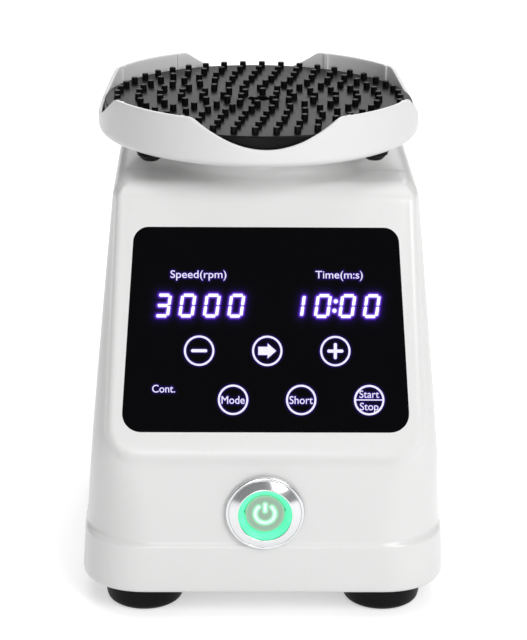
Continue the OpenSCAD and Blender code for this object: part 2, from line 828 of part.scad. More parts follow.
module inlet_pins() {
    color("silver") on_inlet() for (i = [-1 : 1])
        translate([i * pin_pitch / 2, socket_rise + pin_shift(i), -inlet_depth - pin_tail_l])
            translate([-pin_w / 2, -pin_t / 2, 0])
                cube([pin_w, pin_t, inlet_depth + pin_tail_l + inlet_t - pin_set_back]);
}

module inlet_screws() {
    color("silver") for (sx = [-1, 1]) on_inlet() translate([sx * inlet_screw_pitch / 2, 0, 0])
        difference() {
            union() {
                translate([0, 0, inlet_t - 1.4])
                    cylinder(r1 = inlet_screw_r, r2 = inlet_screw_r + 1.4, h = 1.3);
                translate([0, 0, -wall - 2]) cylinder(r = inlet_screw_r, h = wall + 2 + inlet_t - 0.1);
            }
            translate([-0.3, -2, inlet_t - 0.8]) cube([0.6, 4, 1]);
        }
}

fuse_r = 2.5;
fuse_l = 20;

// Drawer with a trough for the fuse and a finger lip
module fuse_drawer() {
    color([0.09, 0.09, 0.09]) on_inlet() translate([0, -drawer_drop, 0]) difference() {
        translate([-drawer_w / 2, -drawer_h / 2, -drawer_depth])
            cube([drawer_w, drawer_h, drawer_depth + inlet_t + drawer_proud]);
        translate([-fuse_l / 2 - 0.3, -fuse_r - 0.1, -drawer_depth + 1.5])
            cube([fuse_l + 0.6, drawer_h, 2 * fuse_r + 0.4]);
        translate([-drawer_w / 4, drawer_h / 2 - drawer_grip, inlet_t + drawer_proud - drawer_grip])
            cube([drawer_w / 2, drawer_grip + over, drawer_grip - 0.8]);
    }
}

module fuse() {
    color([0.8, 0.85, 0.85]) on_inlet()
        translate([-fuse_l / 2, -drawer_drop, -drawer_depth + 1.7 + fuse_r]) rotate([0, 90, 0]) {
            cylinder(r = fuse_r - 0.2, h = fuse_l);
            cylinder(r = fuse_r, h = 5);
            translate([0, 0, fuse_l - 5]) cylinder(r = fuse_r, h = 5);
        }
}

// ---- power supply ----

supply_z = ballast_top + supply_rise;
supply_screw_x = supply_w / 2 - 3.5;
supply_screw_y = supply_l / 2 - 3.5;

module supply_board() {
    color("darkgreen") translate([0, 0, supply_z]) difference() {
        round_plate(supply_w, supply_l, 1.5, board_t);
        for (c = corners) translate([c[0] * supply_screw_x, c[1] * supply_screw_y, -over])
            cylinder(r = 1.4, h = board_t + 2 * over);
    }
}

transformer = [18, 20, supply_part_h];
transformer_y = 2;
capacitor_r = 4;
capacitor_pitch = 10;
capacitor_x = -7;
capacitor_y = 21;
heat_sink = [3, 16, supply_part_h];
heat_sink_at = [-15.5, -14];
terminal_block = [10, 8, 7];
terminal_block_at = [9, 22];

// Box that stands on the board round a centre
module board_box(at, size) {
    translate([at[0] - size[0] / 2, at[1] - size[1] / 2, 0]) cube(size);
}

module supply_parts() {
    translate([0, 0, supply_z + board_t]) {
        color("goldenrod") board_box([0, transformer_y], transformer);
        color("midnightblue") for (side = [-0.5, 0.5])
            translate([capacitor_x + side * capacitor_pitch, capacitor_y, 0])
                cylinder(r = capacitor_r, h = supply_part_h);
        color("silver") board_box(heat_sink_at, heat_sink);
        color("ivory") board_box([header_x, header_y], [header_w, header_l, header_h]);
        color("ivory") board_box(terminal_block_at, terminal_block);
    }
}

module supply_standoffs() {
    color("gold") for (c = corners) translate([c[0] * supply_screw_x, c[1] * supply_screw_y, ballast_top])
        difference() {
            union() {
                cylinder(r = 2.8, h = supply_rise, $fn = 6);
                cylinder(r = 1.2, h = supply_rise + board_t + 0.6);
                translate([0, 0, -2.6]) cylinder(r = 1.2, h = 3);
                translate([0, 0, supply_rise + board_t]) cylinder(r = 2.2, h = 1.2);
            }
        }
}

// Flat cable from the control board down to the header on the supply board
header_x = 14.5;
header_y = -22;
header_w = 8;
header_l = 6;
header_h = 5;
cable_w = 6;
cable_t = 0.8;
cable_start_y = column_front + 10 * sin(panel_lean) + (board_depth + board_t) * cos(panel_lean);
cable_start_z = fold_z + 10 * cos(panel_lean) - (board_depth + board_t) * sin(panel_lean);
cable_end_z = supply_z + board_t + header_h;

module ribbon_cable() {
    path = [[cable_start_y, cable_start_z], [cable_start_y + 7, cable_start_z - 3],
        [cable_start_y + 10, cable_start_z - 10], [header_y - 6, cable_end_z + 8],
        [header_y, cable_end_z + 3], [header_y, cable_end_z]];
    color("lightgray") translate([header_x - cable_w / 2, 0, 0]) rotate([90, 0, 90])
        linear_extrude(cable_w) polygon(concat(
            [for (p = path) p],
            [for (i = [len(path) - 1 : -1 : 0]) path[i] + [cable_t, cable_t * 0.6]]));
}

// ---- carriage guides ----

plate_z = body_z + carriage_rise;
bush_flange_t = 1;
collar_t = 3;
collar_z = plate_z - bush_flange_t - spring_h;
stud_l = 8;
bush_top = plate_z + plate_t + 0.5;
stop_nut_h = 5;
rod_top = bush_top + stop_nut_h + 1.5;

module guide_posts() {
    color("silver") for (c = corners) translate([c[0] * post_xy, c[1] * post_xy, 0]) {
        translate([0, 0, ballast_top - stud_l]) cylinder(r = rod_r, h = stud_l + skin);
        translate([0, 0, ballast_top]) cylinder(r = post_r, h = collar_z - ballast_top);
        translate([0, 0, collar_z - collar_t]) cylinder(r = post_r + 2, h = collar_t);
        translate([0, 0, collar_z - skin]) cylinder(r = rod_r, h = rod_top - collar_z);
    }
}

module post_nuts() {
    color("silver") for (c = corners) translate([c[0] * post_xy, c[1] * post_xy, bush_top + 0.2])
        difference() {
            union() {
                cylinder(r = 6.3, h = 1);
                cylinder(r = 5.5, h = stop_nut_h, $fn = 6);
            }
            translate([0, 0, -over]) cylinder(r = rod_r + rod_play, h = stop_nut_h + 2 * over);
        }
}

module lift_springs() {
    wire = 0.6;
    color("silver") for (c = corners) translate([c[0] * post_xy, c[1] * post_xy, collar_z + 0.1])
        coil_spring(rod_r + 1.5, wire, spring_h - 0.2, 5);
}

// Switch under the carriage plate on a bracket that stands on the ballast
module press_switch() {
    gap = can_r + 2;
    body_t = 6;
    top = plate_z - press_travel - 0.6;
    color("silver") {
        translate([gap + body_t, -7, ballast_top]) cube([2, 14, top - ballast_top - 4]);
        translate([gap + body_t, -7, ballast_top]) cube([5.5, 14, 1.5]);
    }
    color([0.1, 0.1, 0.1]) {
        translate([gap, -10, top - 12]) cube([body_t, 20, 11]);
        translate([gap + 1.5, 4, top - 1 - skin]) cube([3, 3, 1 + skin]);
    }
}

module guide_bushes() {
    color("peru") for (c = corners) translate([c[0] * post_xy, c[1] * post_xy, plate_z - bush_flange_t])
        difference() {
            union() {
                cylinder(r = rod_r + 3.5, h = bush_flange_t);
                cylinder(r = rod_r + 2, h = bush_top - plate_z + bush_flange_t);
            }
            translate([0, 0, -over]) cylinder(r = rod_r + rod_play, h = plate_t + 4 * over);
        }
}

motor_screw_r = 1.5;
motor_screw_pcr = 18.6;
bearing_seat_z = plate_z + 1;
seat_boss_r = shaft_bearing_r + 3.6;
seat_top = bearing_seat_z + shaft_bearing_w + 0.3;

module carriage_plate() {
    color("silver") difference() {
        union() {
            translate([0, 0, plate_z]) round_plate(plate_w, plate_w, 7, plate_t);
            translate([0, 0, plate_z]) cylinder(r = seat_boss_r, h = seat_top - plate_z);
        }
        translate([0, 0, bearing_seat_z]) cylinder(r = shaft_bearing_r + 0.02, h = shaft_bearing_w + over);
        translate([0, 0, plate_z - over]) cylinder(r = shaft_bearing_r - 2.5, h = 3 * over);
        for (c = corners) translate([c[0] * post_xy, c[1] * post_xy, plate_z - over])
            cylinder(r = rod_r + 2.02, h = plate_t + 2 * over);
        for (a = [0 : 90 : 270]) rotate([0, 0, a]) translate([motor_screw_pcr, 0, plate_z - over])
            cylinder(r = motor_screw_r + 0.2, h = plate_t + 2 * over);
    }
}

can_z = plate_z - can_h;
can_top_t = 3;

module motor_can() {
    color("gray") difference() {
        translate([0, 0, can_z]) cylinder(r = can_r, h = can_h);
        translate([0, 0, can_z - over]) cylinder(r = can_r - can_wall, h = can_h - can_top_t + over);
        translate([0, 0, plate_z - can_top_t - over])
            cylinder(r = shaft_bearing_r - 2.5, h = can_top_t + 2 * over);
        for (a = [0 : 90 : 270]) rotate([0, 0, a])
            translate([motor_screw_pcr, 0, plate_z - can_top_t - over])
                cylinder(r = motor_screw_r + 0.1, h = can_top_t + 2 * over);
    }
}

bell_z = can_z - bell_t;
lower_bearing_z = can_z + 0.3;

module motor_end_bell() {
    color("gray") difference() {
        union() {
            translate([0, 0, bell_z]) cylinder(r = can_r, h = bell_t);
            translate([0, 0, can_z - skin]) cylinder(r = shaft_bearing_r + 1.4, h = shaft_bearing_w);
        }
        translate([0, 0, lower_bearing_z]) cylinder(r = shaft_bearing_r + 0.02, h = shaft_bearing_w + over);
        translate([0, 0, bell_z - over]) cylinder(r = shaft_bearing_r - 2.5, h = bell_t + 3 * over);
    }
}

module motor_screws() {
    color("silver") for (a = [0 : 90 : 270]) rotate([0, 0, a])
        translate([motor_screw_pcr, 0, plate_z + plate_t])
            pan_screw(motor_screw_r, plate_t + can_top_t - 0.4, 2.7, 2);
}

stator_z = lower_bearing_z + shaft_bearing_w + 2.2;
slots = 9;
slot_deep = 4.6;
slot_out = can_r - can_wall - 1.9;

// Laminated ring whose teeth leave slots for the coils
module motor_stator() {
    color("slategray") translate([0, 0, stator_z]) difference() {
        ring(can_r - can_wall - rod_play, stator_bore_r, stator_h);
        for (i = [0 : slots - 1]) rotate([0, 0, i * 360 / slots])
            translate([slot_out - slot_deep, -slot_deep / 2, -over])
                cube([slot_deep, slot_deep, stator_h + 2 * over]);
    }
}

module stator_windings() {
    color("peru") for (i = [0 : slots - 1]) rotate([0, 0, i * 360 / slots])
        translate([slot_out - slot_deep + 0.2, -slot_deep / 2 + 0.2, stator_z - 1.5])
            cube([slot_deep - 0.4, slot_deep - 0.4, stator_h + 3]);
}

// ---- bearings ----

// Race radii from the bore, the outside and the ball
function race_in(r_in, r_out) = r_in + (r_out - r_in) * 0.32;
function race_out(r_in, r_out) = r_out - (r_out - r_in) * 0.32;
function ball_r(r_in, r_out) = (race_out(r_in, r_out) - race_in(r_in, r_out)) / 2 - 0.05;

module inner_ring(r_in, r_out, w) {
    ring(race_in(r_in, r_out), r_in, w);
}

module outer_ring(r_in, r_out, w) {
    ring(r_out, race_out(r_in, r_out), w);
}

module bearing_balls(r_in, r_out, w, count) {
    for (i = [0 : count - 1]) rotate([0, 0, i * 360 / count])
        translate([(race_in(r_in, r_out) + race_out(r_in, r_out)) / 2, 0, w / 2])
            sphere(r = ball_r(r_in, r_out));
}

module at_motor_bearings() {
    for (z = [lower_bearing_z, bearing_seat_z]) translate([0, 0, z]) children();
}

shaft_seat = shaft_r + 0.02;

module motor_bearing_outer_rings() {
    color("silver") at_motor_bearings() outer_ring(shaft_seat, shaft_bearing_r, shaft_bearing_w);
}

module motor_bearing_inner_rings() {
    color("silver") at_motor_bearings() inner_ring(shaft_seat, shaft_bearing_r, shaft_bearing_w);
}

module motor_bearing_balls() {
    color("silver") at_motor_bearings() bearing_balls(shaft_seat, shaft_bearing_r, shaft_bearing_w, 7);
}

// ---- rotor and crank ----

crank_z = plate_z + 10;
crank_top = crank_z + crank_h;
head_bearing_z = crank_top + 1.2;
pin_top = head_bearing_z + head_bearing_w + 0.6;

module motor_shaft() {
    color("silver") translate([0, 0, bell_z + 0.5])
        cylinder(r = shaft_r, h = crank_z + crank_h - 1.5 - bell_z - 0.5);
}

module motor_magnet() {
    color("dimgray") translate([0, 0, stator_z + 0.5])
        ring(stator_bore_r - air_gap, shaft_seat, stator_h - 1);
}

// Frame of the rotor: X points along the crank
module on_crank() {
    rotate([0, 0, rest_turn]) children();
}

// Eccentric hub with the crank pin on one side and the counterweight on the other
module crank_hub() {
    color("lightsteelblue") on_crank() difference() {
        union() {
            translate([0, 0, crank_z]) cylinder(r = crank_r, h = crank_h);
            intersection() {
                translate([0, 0, crank_z]) cylinder(r = counterweight_r, h = crank_h);
                translate([-crank_pin_r - counterweight_r, -counterweight_r, crank_z])
                    cube([counterweight_r, 2 * counterweight_r, crank_h]);
            }
            translate([orbit_r, 0, crank_top - skin]) cylinder(r = crank_pin_r, h = pin_top - crank_top);
            translate([orbit_r, 0, crank_top - skin]) cylinder(r = crank_pin_r + 1.5, h = 1.2 + skin);
        }
        translate([0, 0, crank_z - over]) cylinder(r = shaft_seat, h = crank_h - 1 + over);
        translate([0, 0, crank_z + crank_h / 2]) rotate([-90, 0, 0])
            cylinder(r = 2.05, h = crank_r + over);
    }
}

module crank_set_screw() {
    color("dimgray") on_crank() translate([0, shaft_r + 0.1, crank_z + crank_h / 2]) rotate([-90, 0, 0])
    difference() {
        cylinder(r = 2, h = crank_r - shaft_r - 0.4);
        translate([0, 0, crank_r - shaft_r - 2]) cylinder(r = 1.1, h = 3, $fn = 6);
    }
}

module at_head() {
    translate([orbit_r * cos(rest_turn), orbit_r * sin(rest_turn), 0]) children();
}

module at_tray() {
    at_head() rotate([0, 0, tray_turn]) children();
}

crank_pin_seat = crank_pin_r + 0.02;

module head_bearing_inner_ring() {
    color("silver") at_head() translate([0, 0, head_bearing_z])
        inner_ring(crank_pin_seat, head_bearing_r, head_bearing_w);
}

module head_bearing_balls() {
    color("silver") at_head() translate([0, 0, head_bearing_z])
        bearing_balls(crank_pin_seat, head_bearing_r, head_bearing_w, 9);
}

module head_bearing_outer_ring() {
    color("silver") at_head() translate([0, 0, head_bearing_z])
        outer_ring(crank_pin_seat, head_bearing_r, head_bearing_w);
}

// ---- orbiting head ----

hub_low = head_bearing_z - 0.4;
hub_shelf = head_bearing_z + head_bearing_w + 0.05;
centre_screw_r = 2.5;
centre_screw_l = 14;
centre_head_r = 4.8;
centre_head_h = 2.8;

// Cup over the head bearing, with a stem up to the flange that carries the tray
module head_hub() {
    color("silver") at_head() difference() {
        union() {
            translate([0, 0, hub_low]) cylinder(r = head_bearing_r + hub_wall, h = hub_shelf + 3.5 - hub_low);
            translate([0, 0, hub_shelf]) cylinder(r = stem_r, h = tray_z - hub_shelf);
            translate([0, 0, tray_z - hub_flange_t]) cylinder(r = hub_flange_r, h = hub_flange_t);
        }
        translate([0, 0, hub_low - over]) cylinder(r = head_bearing_r + 0.02, h = hub_shelf - hub_low + over);
        translate([0, 0, hub_shelf - over]) cylinder(r = head_bearing_r - 2.5, h = over + 1);
        translate([0, 0, tray_z - centre_screw_l])
            cylinder(r = centre_screw_r + 0.1, h = centre_screw_l + over);
    }
}

// Pleated rubber boot from the neck to the stem: it seals the opening and keeps the head from spinning
module neck_boot() {
    t = 1.2;
    r0 = stem_r - orbit_r;
    r1 = neck_bore_r - fit_gap;
    z = deck_z - 1;
    color([0.15, 0.15, 0.15]) difference() {
        rotate_extrude() polygon([
            [r0, z], [r0 + 6.5, z], [r0 + 9.5, z + 3.2], [r0 + 12.5, z - 1], [r1 - 1.5, z - 1], [r1, z - 1],
            [r1, z + 3], [r1 - 1.5, z + 3], [r1 - 1.5, z - 1 + t], [r0 + 12.5 + t, z - 1 + t],
            [r0 + 9.5 + t * 0.5, z + 3.2 + t], [r0 + 9.5 - t * 0.5, z + 3.2 + t], [r0 + 6.5, z + t * 1.6],
            [r0 + 4.6, z + t * 1.6], [r0 + 4.6, z + 3.4], [r0, z + 3.4]]);
        at_head() translate([0, 0, z - over]) cylinder(r = stem_r + fit_gap, h = 3.4 + 2 * over);
    }
}

plug_turns = [plug_turn, 180 - plug_turn, 180 + plug_turn, 360 - plug_turn];

// Outline of one cut-out across the rim: a low curve that meets a short shoulder at the lobes
module cutout_outline() {
    steps = 30;
    function rise(t) = t < cutout_low ? t * t / cutout_low : 1 - pow(1 - t, 2) / (1 - cutout_low);
    polygon(concat(
        [for (i = [-steps : steps])
            let (t = i / steps) [t * cutout_half, cutout_h + (lobe_h - cutout_h) * rise(abs(t))]],
        [[cutout_half, lobe_h + 2 * over], [-cutout_half, lobe_h + 2 * over]]));
}

module tray_shell() {
    difference() {
        rotate_extrude() polygon(concat(
            [[0, 0]],
            [for (a = [0 : 15 : 90])
                [tray_r - tray_round + tray_round * sin(a), tray_round - tray_round * cos(a)]],
            [[tray_r, lobe_h], [0, lobe_h]]));
        translate([0, 0, tray_floor]) cylinder(r = tray_r - tray_wall, h = lobe_h);
    }
    for (a = [45 : 90 : 315], side = [-rib_angle, rib_angle]) rotate([0, 0, a + side])
        translate([tray_r - tray_wall - rib_d, -rib_w / 2, tray_floor / 2])
            cube([rib_d + tray_wall / 2, rib_w, lobe_h - tray_floor / 2]);
}

module tray() {
    color("white") at_tray() translate([0, 0, tray_z]) difference() {
        tray_shell();
        for (a = [0 : 90 : 270]) rotate([0, 0, a]) rotate([90, 0, 0])
            translate([0, 0, tray_r / 2]) linear_extrude(tray_r) cutout_outline();
        translate([0, 0, -over]) cylinder(r = centre_screw_r + 0.2, h = tray_floor + 2 * over);
        for (a = plug_turns) rotate([0, 0, a]) translate([plug_radius, 0, -over])
            cylinder(r = plug_stem_r + 0.2, h = tray_floor + 2 * over);
    }
}

pad_top = pad_z + pad_t;
row_angle = 77.7;

// Pins in concentric rings: the count of each ring, from the outer one in, and its turn past the row's angle
pins_per_ring = [44, 38, 30, 24, 18, 12, 6];
ring_turns = [0, 0, 0, 0, 2.5, 7.5, -3];

module pad_pins() {
    for (k = [0 : len(pins_per_ring) - 1]) {
        r = max(pad_r - pin_margin - k * ring_pitch, inner_ring_r);
        for (i = [0 : pins_per_ring[k] - 1])
            rotate([0, 0, row_angle + ring_turns[k] + i * 360 / pins_per_ring[k]]) translate([r, 0, -skin])
                cylinder(r = pin_r, h = pin_h + skin, $fn = 24);
    }
}

module rubber_pad() {
    color([0.1, 0.1, 0.1]) at_tray() {
        difference() {
            translate([0, 0, pad_z]) cylinder(r = pad_r, h = pad_t);
            translate([0, 0, pad_z - over]) cylinder(r = pad_hole_r, h = pad_t + 2 * over);
            translate([0, 0, pad_z - over]) cylinder(r = centre_head_r + 0.4, h = centre_head_h + 0.8 + over);
        }
        translate([0, 0, pad_top]) pad_pins();
    }
}

plug_stem_r = 1.8;

// Ribbed rubber plugs that hold the pad down through the tray's floor
module pad_plugs() {
    rib = plug_h / 4;
    color([0.08, 0.08, 0.08]) at_tray() for (a = plug_turns) rotate([0, 0, a])
        translate([plug_radius, 0, tray_z]) rotate_extrude() polygon([
            [0, tray_floor], [plug_stem_r, tray_floor], [plug_stem_r, 0],
            [plug_r - 0.5, 0], [plug_r, -rib * 0.6], [plug_r - 0.6, -rib], [plug_r - 0.2, -rib * 1.5],
            [plug_r - 1, -rib * 2], [plug_r * 0.45, -plug_h], [0, -plug_h]]);
}

module centre_screw() {
    color("dimgray") at_tray() translate([0, 0, tray_z + tray_floor])
        pan_screw(centre_screw_r, tray_floor + centre_screw_l - 2, centre_head_r, centre_head_h);
}

// ---- assembly ----

housing();
base_plate();
ballast_weight();
foot_front_left();
foot_front_right();
foot_rear_left();
foot_rear_right();
foot_screws();
ballast_screws();
control_glass();
glass_gasket();
control_board();
speed_display();
time_display();
touch_springs();
board_screws();
power_button_bezel();
power_button_gasket();
power_button_nut();
power_button_ring();
power_button_cap();
power_button_spring();
power_button_block();
inlet_body();
inlet_pins();
inlet_screws();
fuse_drawer();
fuse();
supply_board();
supply_parts();
supply_standoffs();
ribbon_cable();
guide_posts();
post_nuts();
lift_springs();
press_switch();
guide_bushes();
carriage_plate();
motor_can();
motor_end_bell();
motor_screws();
motor_stator();
stator_windings();
motor_bearing_outer_rings();
motor_shaft();
motor_magnet();
motor_bearing_inner_rings();
motor_bearing_balls();
crank_hub();
crank_set_screw();
head_bearing_inner_ring();
head_bearing_balls();
head_bearing_outer_ring();
head_hub();
neck_boot();
tray();
rubber_pad();
pad_plugs();
centre_screw();
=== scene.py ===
import json
import math
import bmesh
import bpy
import numpy as np
from mathutils import Matrix, Vector, kdtree


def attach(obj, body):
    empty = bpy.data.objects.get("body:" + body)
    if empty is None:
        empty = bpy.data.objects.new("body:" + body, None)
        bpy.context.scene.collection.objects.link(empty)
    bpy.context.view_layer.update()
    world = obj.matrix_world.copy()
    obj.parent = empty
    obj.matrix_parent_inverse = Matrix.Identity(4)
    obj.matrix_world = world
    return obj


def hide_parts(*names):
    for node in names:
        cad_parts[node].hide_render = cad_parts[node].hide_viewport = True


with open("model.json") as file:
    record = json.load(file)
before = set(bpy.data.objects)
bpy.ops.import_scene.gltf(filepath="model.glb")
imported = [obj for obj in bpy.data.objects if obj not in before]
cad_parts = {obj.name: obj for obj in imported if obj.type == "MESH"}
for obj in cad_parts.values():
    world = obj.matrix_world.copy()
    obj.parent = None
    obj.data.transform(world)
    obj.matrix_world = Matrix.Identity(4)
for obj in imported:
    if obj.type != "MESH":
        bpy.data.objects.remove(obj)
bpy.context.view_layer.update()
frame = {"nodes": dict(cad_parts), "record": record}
cadNodes = frame["nodes"]
mm = 0.001
fullTurn = 2 * math.pi
print("frame loaded:", len(cadNodes), "nodes")

# sizes that several pieces share, in millimetres
mixer = {
    "front": -66.0,       # front face of the column
    "fold": 56.0,         # height where the front starts to lean
    "lean": math.radians(20),
    "deck": 134.0,
    "neckTop": 140.0,
    "buttonHeight": 36.8,
    "frontFoot": -66.5,   # front face of the plinth
    "headX": -1.907,      # the head stands off the shaft by the crank
    "headY": -0.601,
    "trayTurn": math.radians(1.8),
    "trayBase": 143.3,
    "padTop": 152.85,
}


# ---------- small mesh helpers ----------

def closeUp(bm, outwards=True):
    bmesh.ops.remove_doubles(bm, verts=bm.verts, dist=2e-6)
    bmesh.ops.dissolve_degenerate(bm, edges=bm.edges, dist=1e-7)
    if outwards:
        bmesh.ops.recalc_face_normals(bm, faces=bm.faces)


def turnOut(bm):
    # a sheet that is nearly closed: its signed volume tells which way it faces
    if bm.calc_volume(signed=True) < 0:
        bmesh.ops.reverse_faces(bm, faces=bm.faces)


def addPiece(bm, name, body, finish, replaced=(), crease=32):
    mesh = bpy.data.meshes.new(name)
    bm.to_mesh(mesh)
    bm.free()
    for face in mesh.polygons:
        face.use_smooth = True
    mesh.set_sharp_from_angle(angle=math.radians(crease))
    piece = bpy.data.objects.new(name, mesh)
    bpy.context.scene.collection.objects.link(piece)
    for one in finish if isinstance(finish, (list, tuple)) else [finish]:
        mesh.materials.append(one)
    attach(piece, body)
    if replaced:
        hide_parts(*replaced)
    return piece


def softProfile(corners, steps=5):
    # corners are (radius, height, round); each corner with a round becomes a short arc
    line = []
    for n, (r, z, soft) in enumerate(corners):
        if soft == 0 or n in (0, len(corners) - 1):
            line.append((r, z))
            continue
        here = Vector((r, z))
        back = Vector(corners[n - 1][:2]) - here
        ahead = Vector(corners[n + 1][:2]) - here
        cut = min(soft, back.length * 0.48, ahead.length * 0.48)
        a = here + back.normalized() * cut
        b = here + ahead.normalized() * cut
        for k in range(steps + 1):
            t = k / steps
            line.append(tuple(a * (1 - t) ** 2 + here * 2 * t * (1 - t) + b * t ** 2))
    return line


def lathe(bm, profile, steps=64):
    # turns a profile of (radius, height) in millimetres round the vertical axis
    verts = [bm.verts.new((r * mm, 0, z * mm)) for r, z in profile]
    edges = [bm.edges.new(pair) for pair in zip(verts, verts[1:])]
    spun = bmesh.ops.spin(bm, geom=verts + edges, cent=(0, 0, 0), axis=(0, 0, 1), dvec=(0, 0, 0),
                          angle=fullTurn, steps=steps, use_merge=True, use_duplicate=False)
    closeUp(bm)
    return spun


def place(bm, matrix):
    bmesh.ops.transform(bm, matrix=matrix, verts=bm.verts[:])


def joinInto(bm, extra):
    mesh = bpy.data.meshes.new("joined")
    extra.to_mesh(mesh)
    extra.free()
    bm.from_mesh(mesh)
    bpy.data.meshes.remove(mesh)


def panelPlace(x=0.0, y=0.0, z=0.0):
    # x to the right, y up the slope, z out of the leaning face
    turned = Matrix.Rotation(math.pi / 2 - mixer["lean"], 4, "X")
    origin = Matrix.Translation(Vector((0, mixer["front"], mixer["fold"])) * mm)
    return origin @ turned @ Matrix.Translation(Vector((x, y, z)) * mm)


def buttonPlace(out=0.0):
    # z points out along the button's axis, from the plane of the plinth's front face
    turned = Matrix.Rotation(math.pi / 2, 4, "X")
    spot = Vector((0, mixer["frontFoot"] - out, mixer["buttonHeight"])) * mm
    return Matrix.Translation(spot) @ turned


def headPlace(z=0.0):
    spot = Matrix.Translation(Vector((mixer["headX"], mixer["headY"], z)) * mm)
    return spot @ Matrix.Rotation(mixer["trayTurn"], 4, "Z")


def wrapSheet(bm, spots, closed=True):
    # bends a flat grid over an array of points: rows by columns by xyz, in millimetres
    rows, columns = spots.shape[0] - 1, spots.shape[1] - (0 if closed else 1)
    made = bmesh.ops.create_grid(bm, x_segments=columns, y_segments=rows, size=1.0)
    for v in made["verts"]:
        i = round((v.co.x + 1) / 2 * columns) % spots.shape[1]
        j = round((v.co.y + 1) / 2 * rows)
        v.co = spots[j, i] * mm
    bmesh.ops.remove_doubles(bm, verts=bm.verts, dist=2e-6)


# ---------- shared shader groups ----------

def startGroup(name, inputs, outputs):
    group = bpy.data.node_groups.new(name, "ShaderNodeTree")
    for label, kind, value in inputs:
        socket = group.interface.new_socket(name=label, in_out="INPUT", socket_type=kind)
        socket.default_value = value
    for label, kind in outputs:
        group.interface.new_socket(name=label, in_out="OUTPUT", socket_type=kind)
    return group, group.nodes.new("NodeGroupInput"), group.nodes.new("NodeGroupOutput")


def addNoise(tree, vector, scale, detail=3.0, rough=0.5):
    noise = tree.nodes.new("ShaderNodeTexNoise")
    noise.inputs["Detail"].default_value = detail
    noise.inputs["Roughness"].default_value = rough
    tree.links.new(vector, noise.inputs["Vector"])
    if isinstance(scale, (int, float)):
        noise.inputs["Scale"].default_value = scale
    else:
        tree.links.new(scale, noise.inputs["Scale"])
    return noise


def addMath(tree, operation, a, b, c=0.5):
    # c is read only by the operations that take three values
    node = tree.nodes.new("ShaderNodeMath")
    node.operation = operation
    for value, socket in zip((a, b, c), node.inputs):
        if isinstance(value, (int, float)):
            socket.default_value = value
        else:
            tree.links.new(value, socket)
    return node.outputs[0]


def addScaled(tree, colour, factor):
    node = tree.nodes.new("ShaderNodeVectorMath")
    node.operation = "SCALE"
    tree.links.new(colour, node.inputs[0])
    tree.links.new(factor, node.inputs["Scale"])
    return node.outputs[0]


def addRamp(tree, factor, stops):
    # stops are (position, colour) in rising order
    ramp = tree.nodes.new("ShaderNodeValToRGB")
    elements = ramp.color_ramp.elements
    for n, (position, colour) in ((0, stops[0]), (1, stops[-1])):
        elements[n].position = position
        elements[n].color = (*colour, 1)
    for position, colour in stops[1:-1]:
        elements.new(position).color = (*colour, 1)
    tree.links.new(factor, ramp.inputs["Fac"])
    return ramp.outputs["Color"]


def buildSurfaceTone():
    # slow colour drift, fine grain and scattered dust for any surface
    group, given, result = startGroup("surfaceTone", [
        ("Vector", "NodeSocketVector", (0, 0, 0)),
        ("Base", "NodeSocketColor", (0.8, 0.8, 0.8, 1)),
        ("Drift", "NodeSocketFloat", 0.04),
        ("Drift Scale", "NodeSocketFloat", 25.0),
        ("Grain Scale", "NodeSocketFloat", 900.0),
        ("Roughness", "NodeSocketFloat", 0.4),
        ("Roughness Spread", "NodeSocketFloat", 0.08),
        ("Dust", "NodeSocketFloat", 0.0),
        ("Dust Colour", "NodeSocketColor", (0.5, 0.49, 0.46, 1)),
    ], [("Color", "NodeSocketColor"), ("Roughness", "NodeSocketFloat"), ("Height", "NodeSocketFloat")])
    tree = group
    slow = addNoise(tree, given.outputs["Vector"], given.outputs["Drift Scale"], 4.0)
    fine = addNoise(tree, given.outputs["Vector"], given.outputs["Grain Scale"], 2.0)
    smear = addNoise(tree, given.outputs["Vector"], 60.0, 5.0, 0.65)
    away = addMath(tree, "SUBTRACT", slow.outputs["Fac"], 0.5)
    shade = addMath(tree, "MULTIPLY_ADD", away, given.outputs["Drift"], 1.0)
    toned = addScaled(tree, given.outputs["Base"], shade)
    speck = tree.nodes.new("ShaderNodeTexVoronoi")
    speck.inputs["Scale"].default_value = 420.0
    tree.links.new(given.outputs["Vector"], speck.inputs["Vector"])
    near = addMath(tree, "LESS_THAN", speck.outputs["Distance"], 0.16)
    patch = addMath(tree, "GREATER_THAN", smear.outputs["Fac"], 0.56)
    dusty = addMath(tree, "MULTIPLY", addMath(tree, "MULTIPLY", near, patch), given.outputs["Dust"])
    mixed = tree.nodes.new("ShaderNodeMix")
    mixed.data_type = "RGBA"
    tree.links.new(dusty, mixed.inputs[0])
    tree.links.new(toned, mixed.inputs[6])
    tree.links.new(given.outputs["Dust Colour"], mixed.inputs[7])
    tree.links.new(mixed.outputs[2], result.inputs["Color"])
    wander = addMath(tree, "SUBTRACT", smear.outputs["Fac"], 0.5)
    rough = addMath(tree, "MULTIPLY_ADD", wander, given.outputs["Roughness Spread"],
                    given.outputs["Roughness"])
    tree.links.new(rough, result.inputs["Roughness"])
    tree.links.new(fine.outputs["Fac"], result.inputs["Height"])
    return group


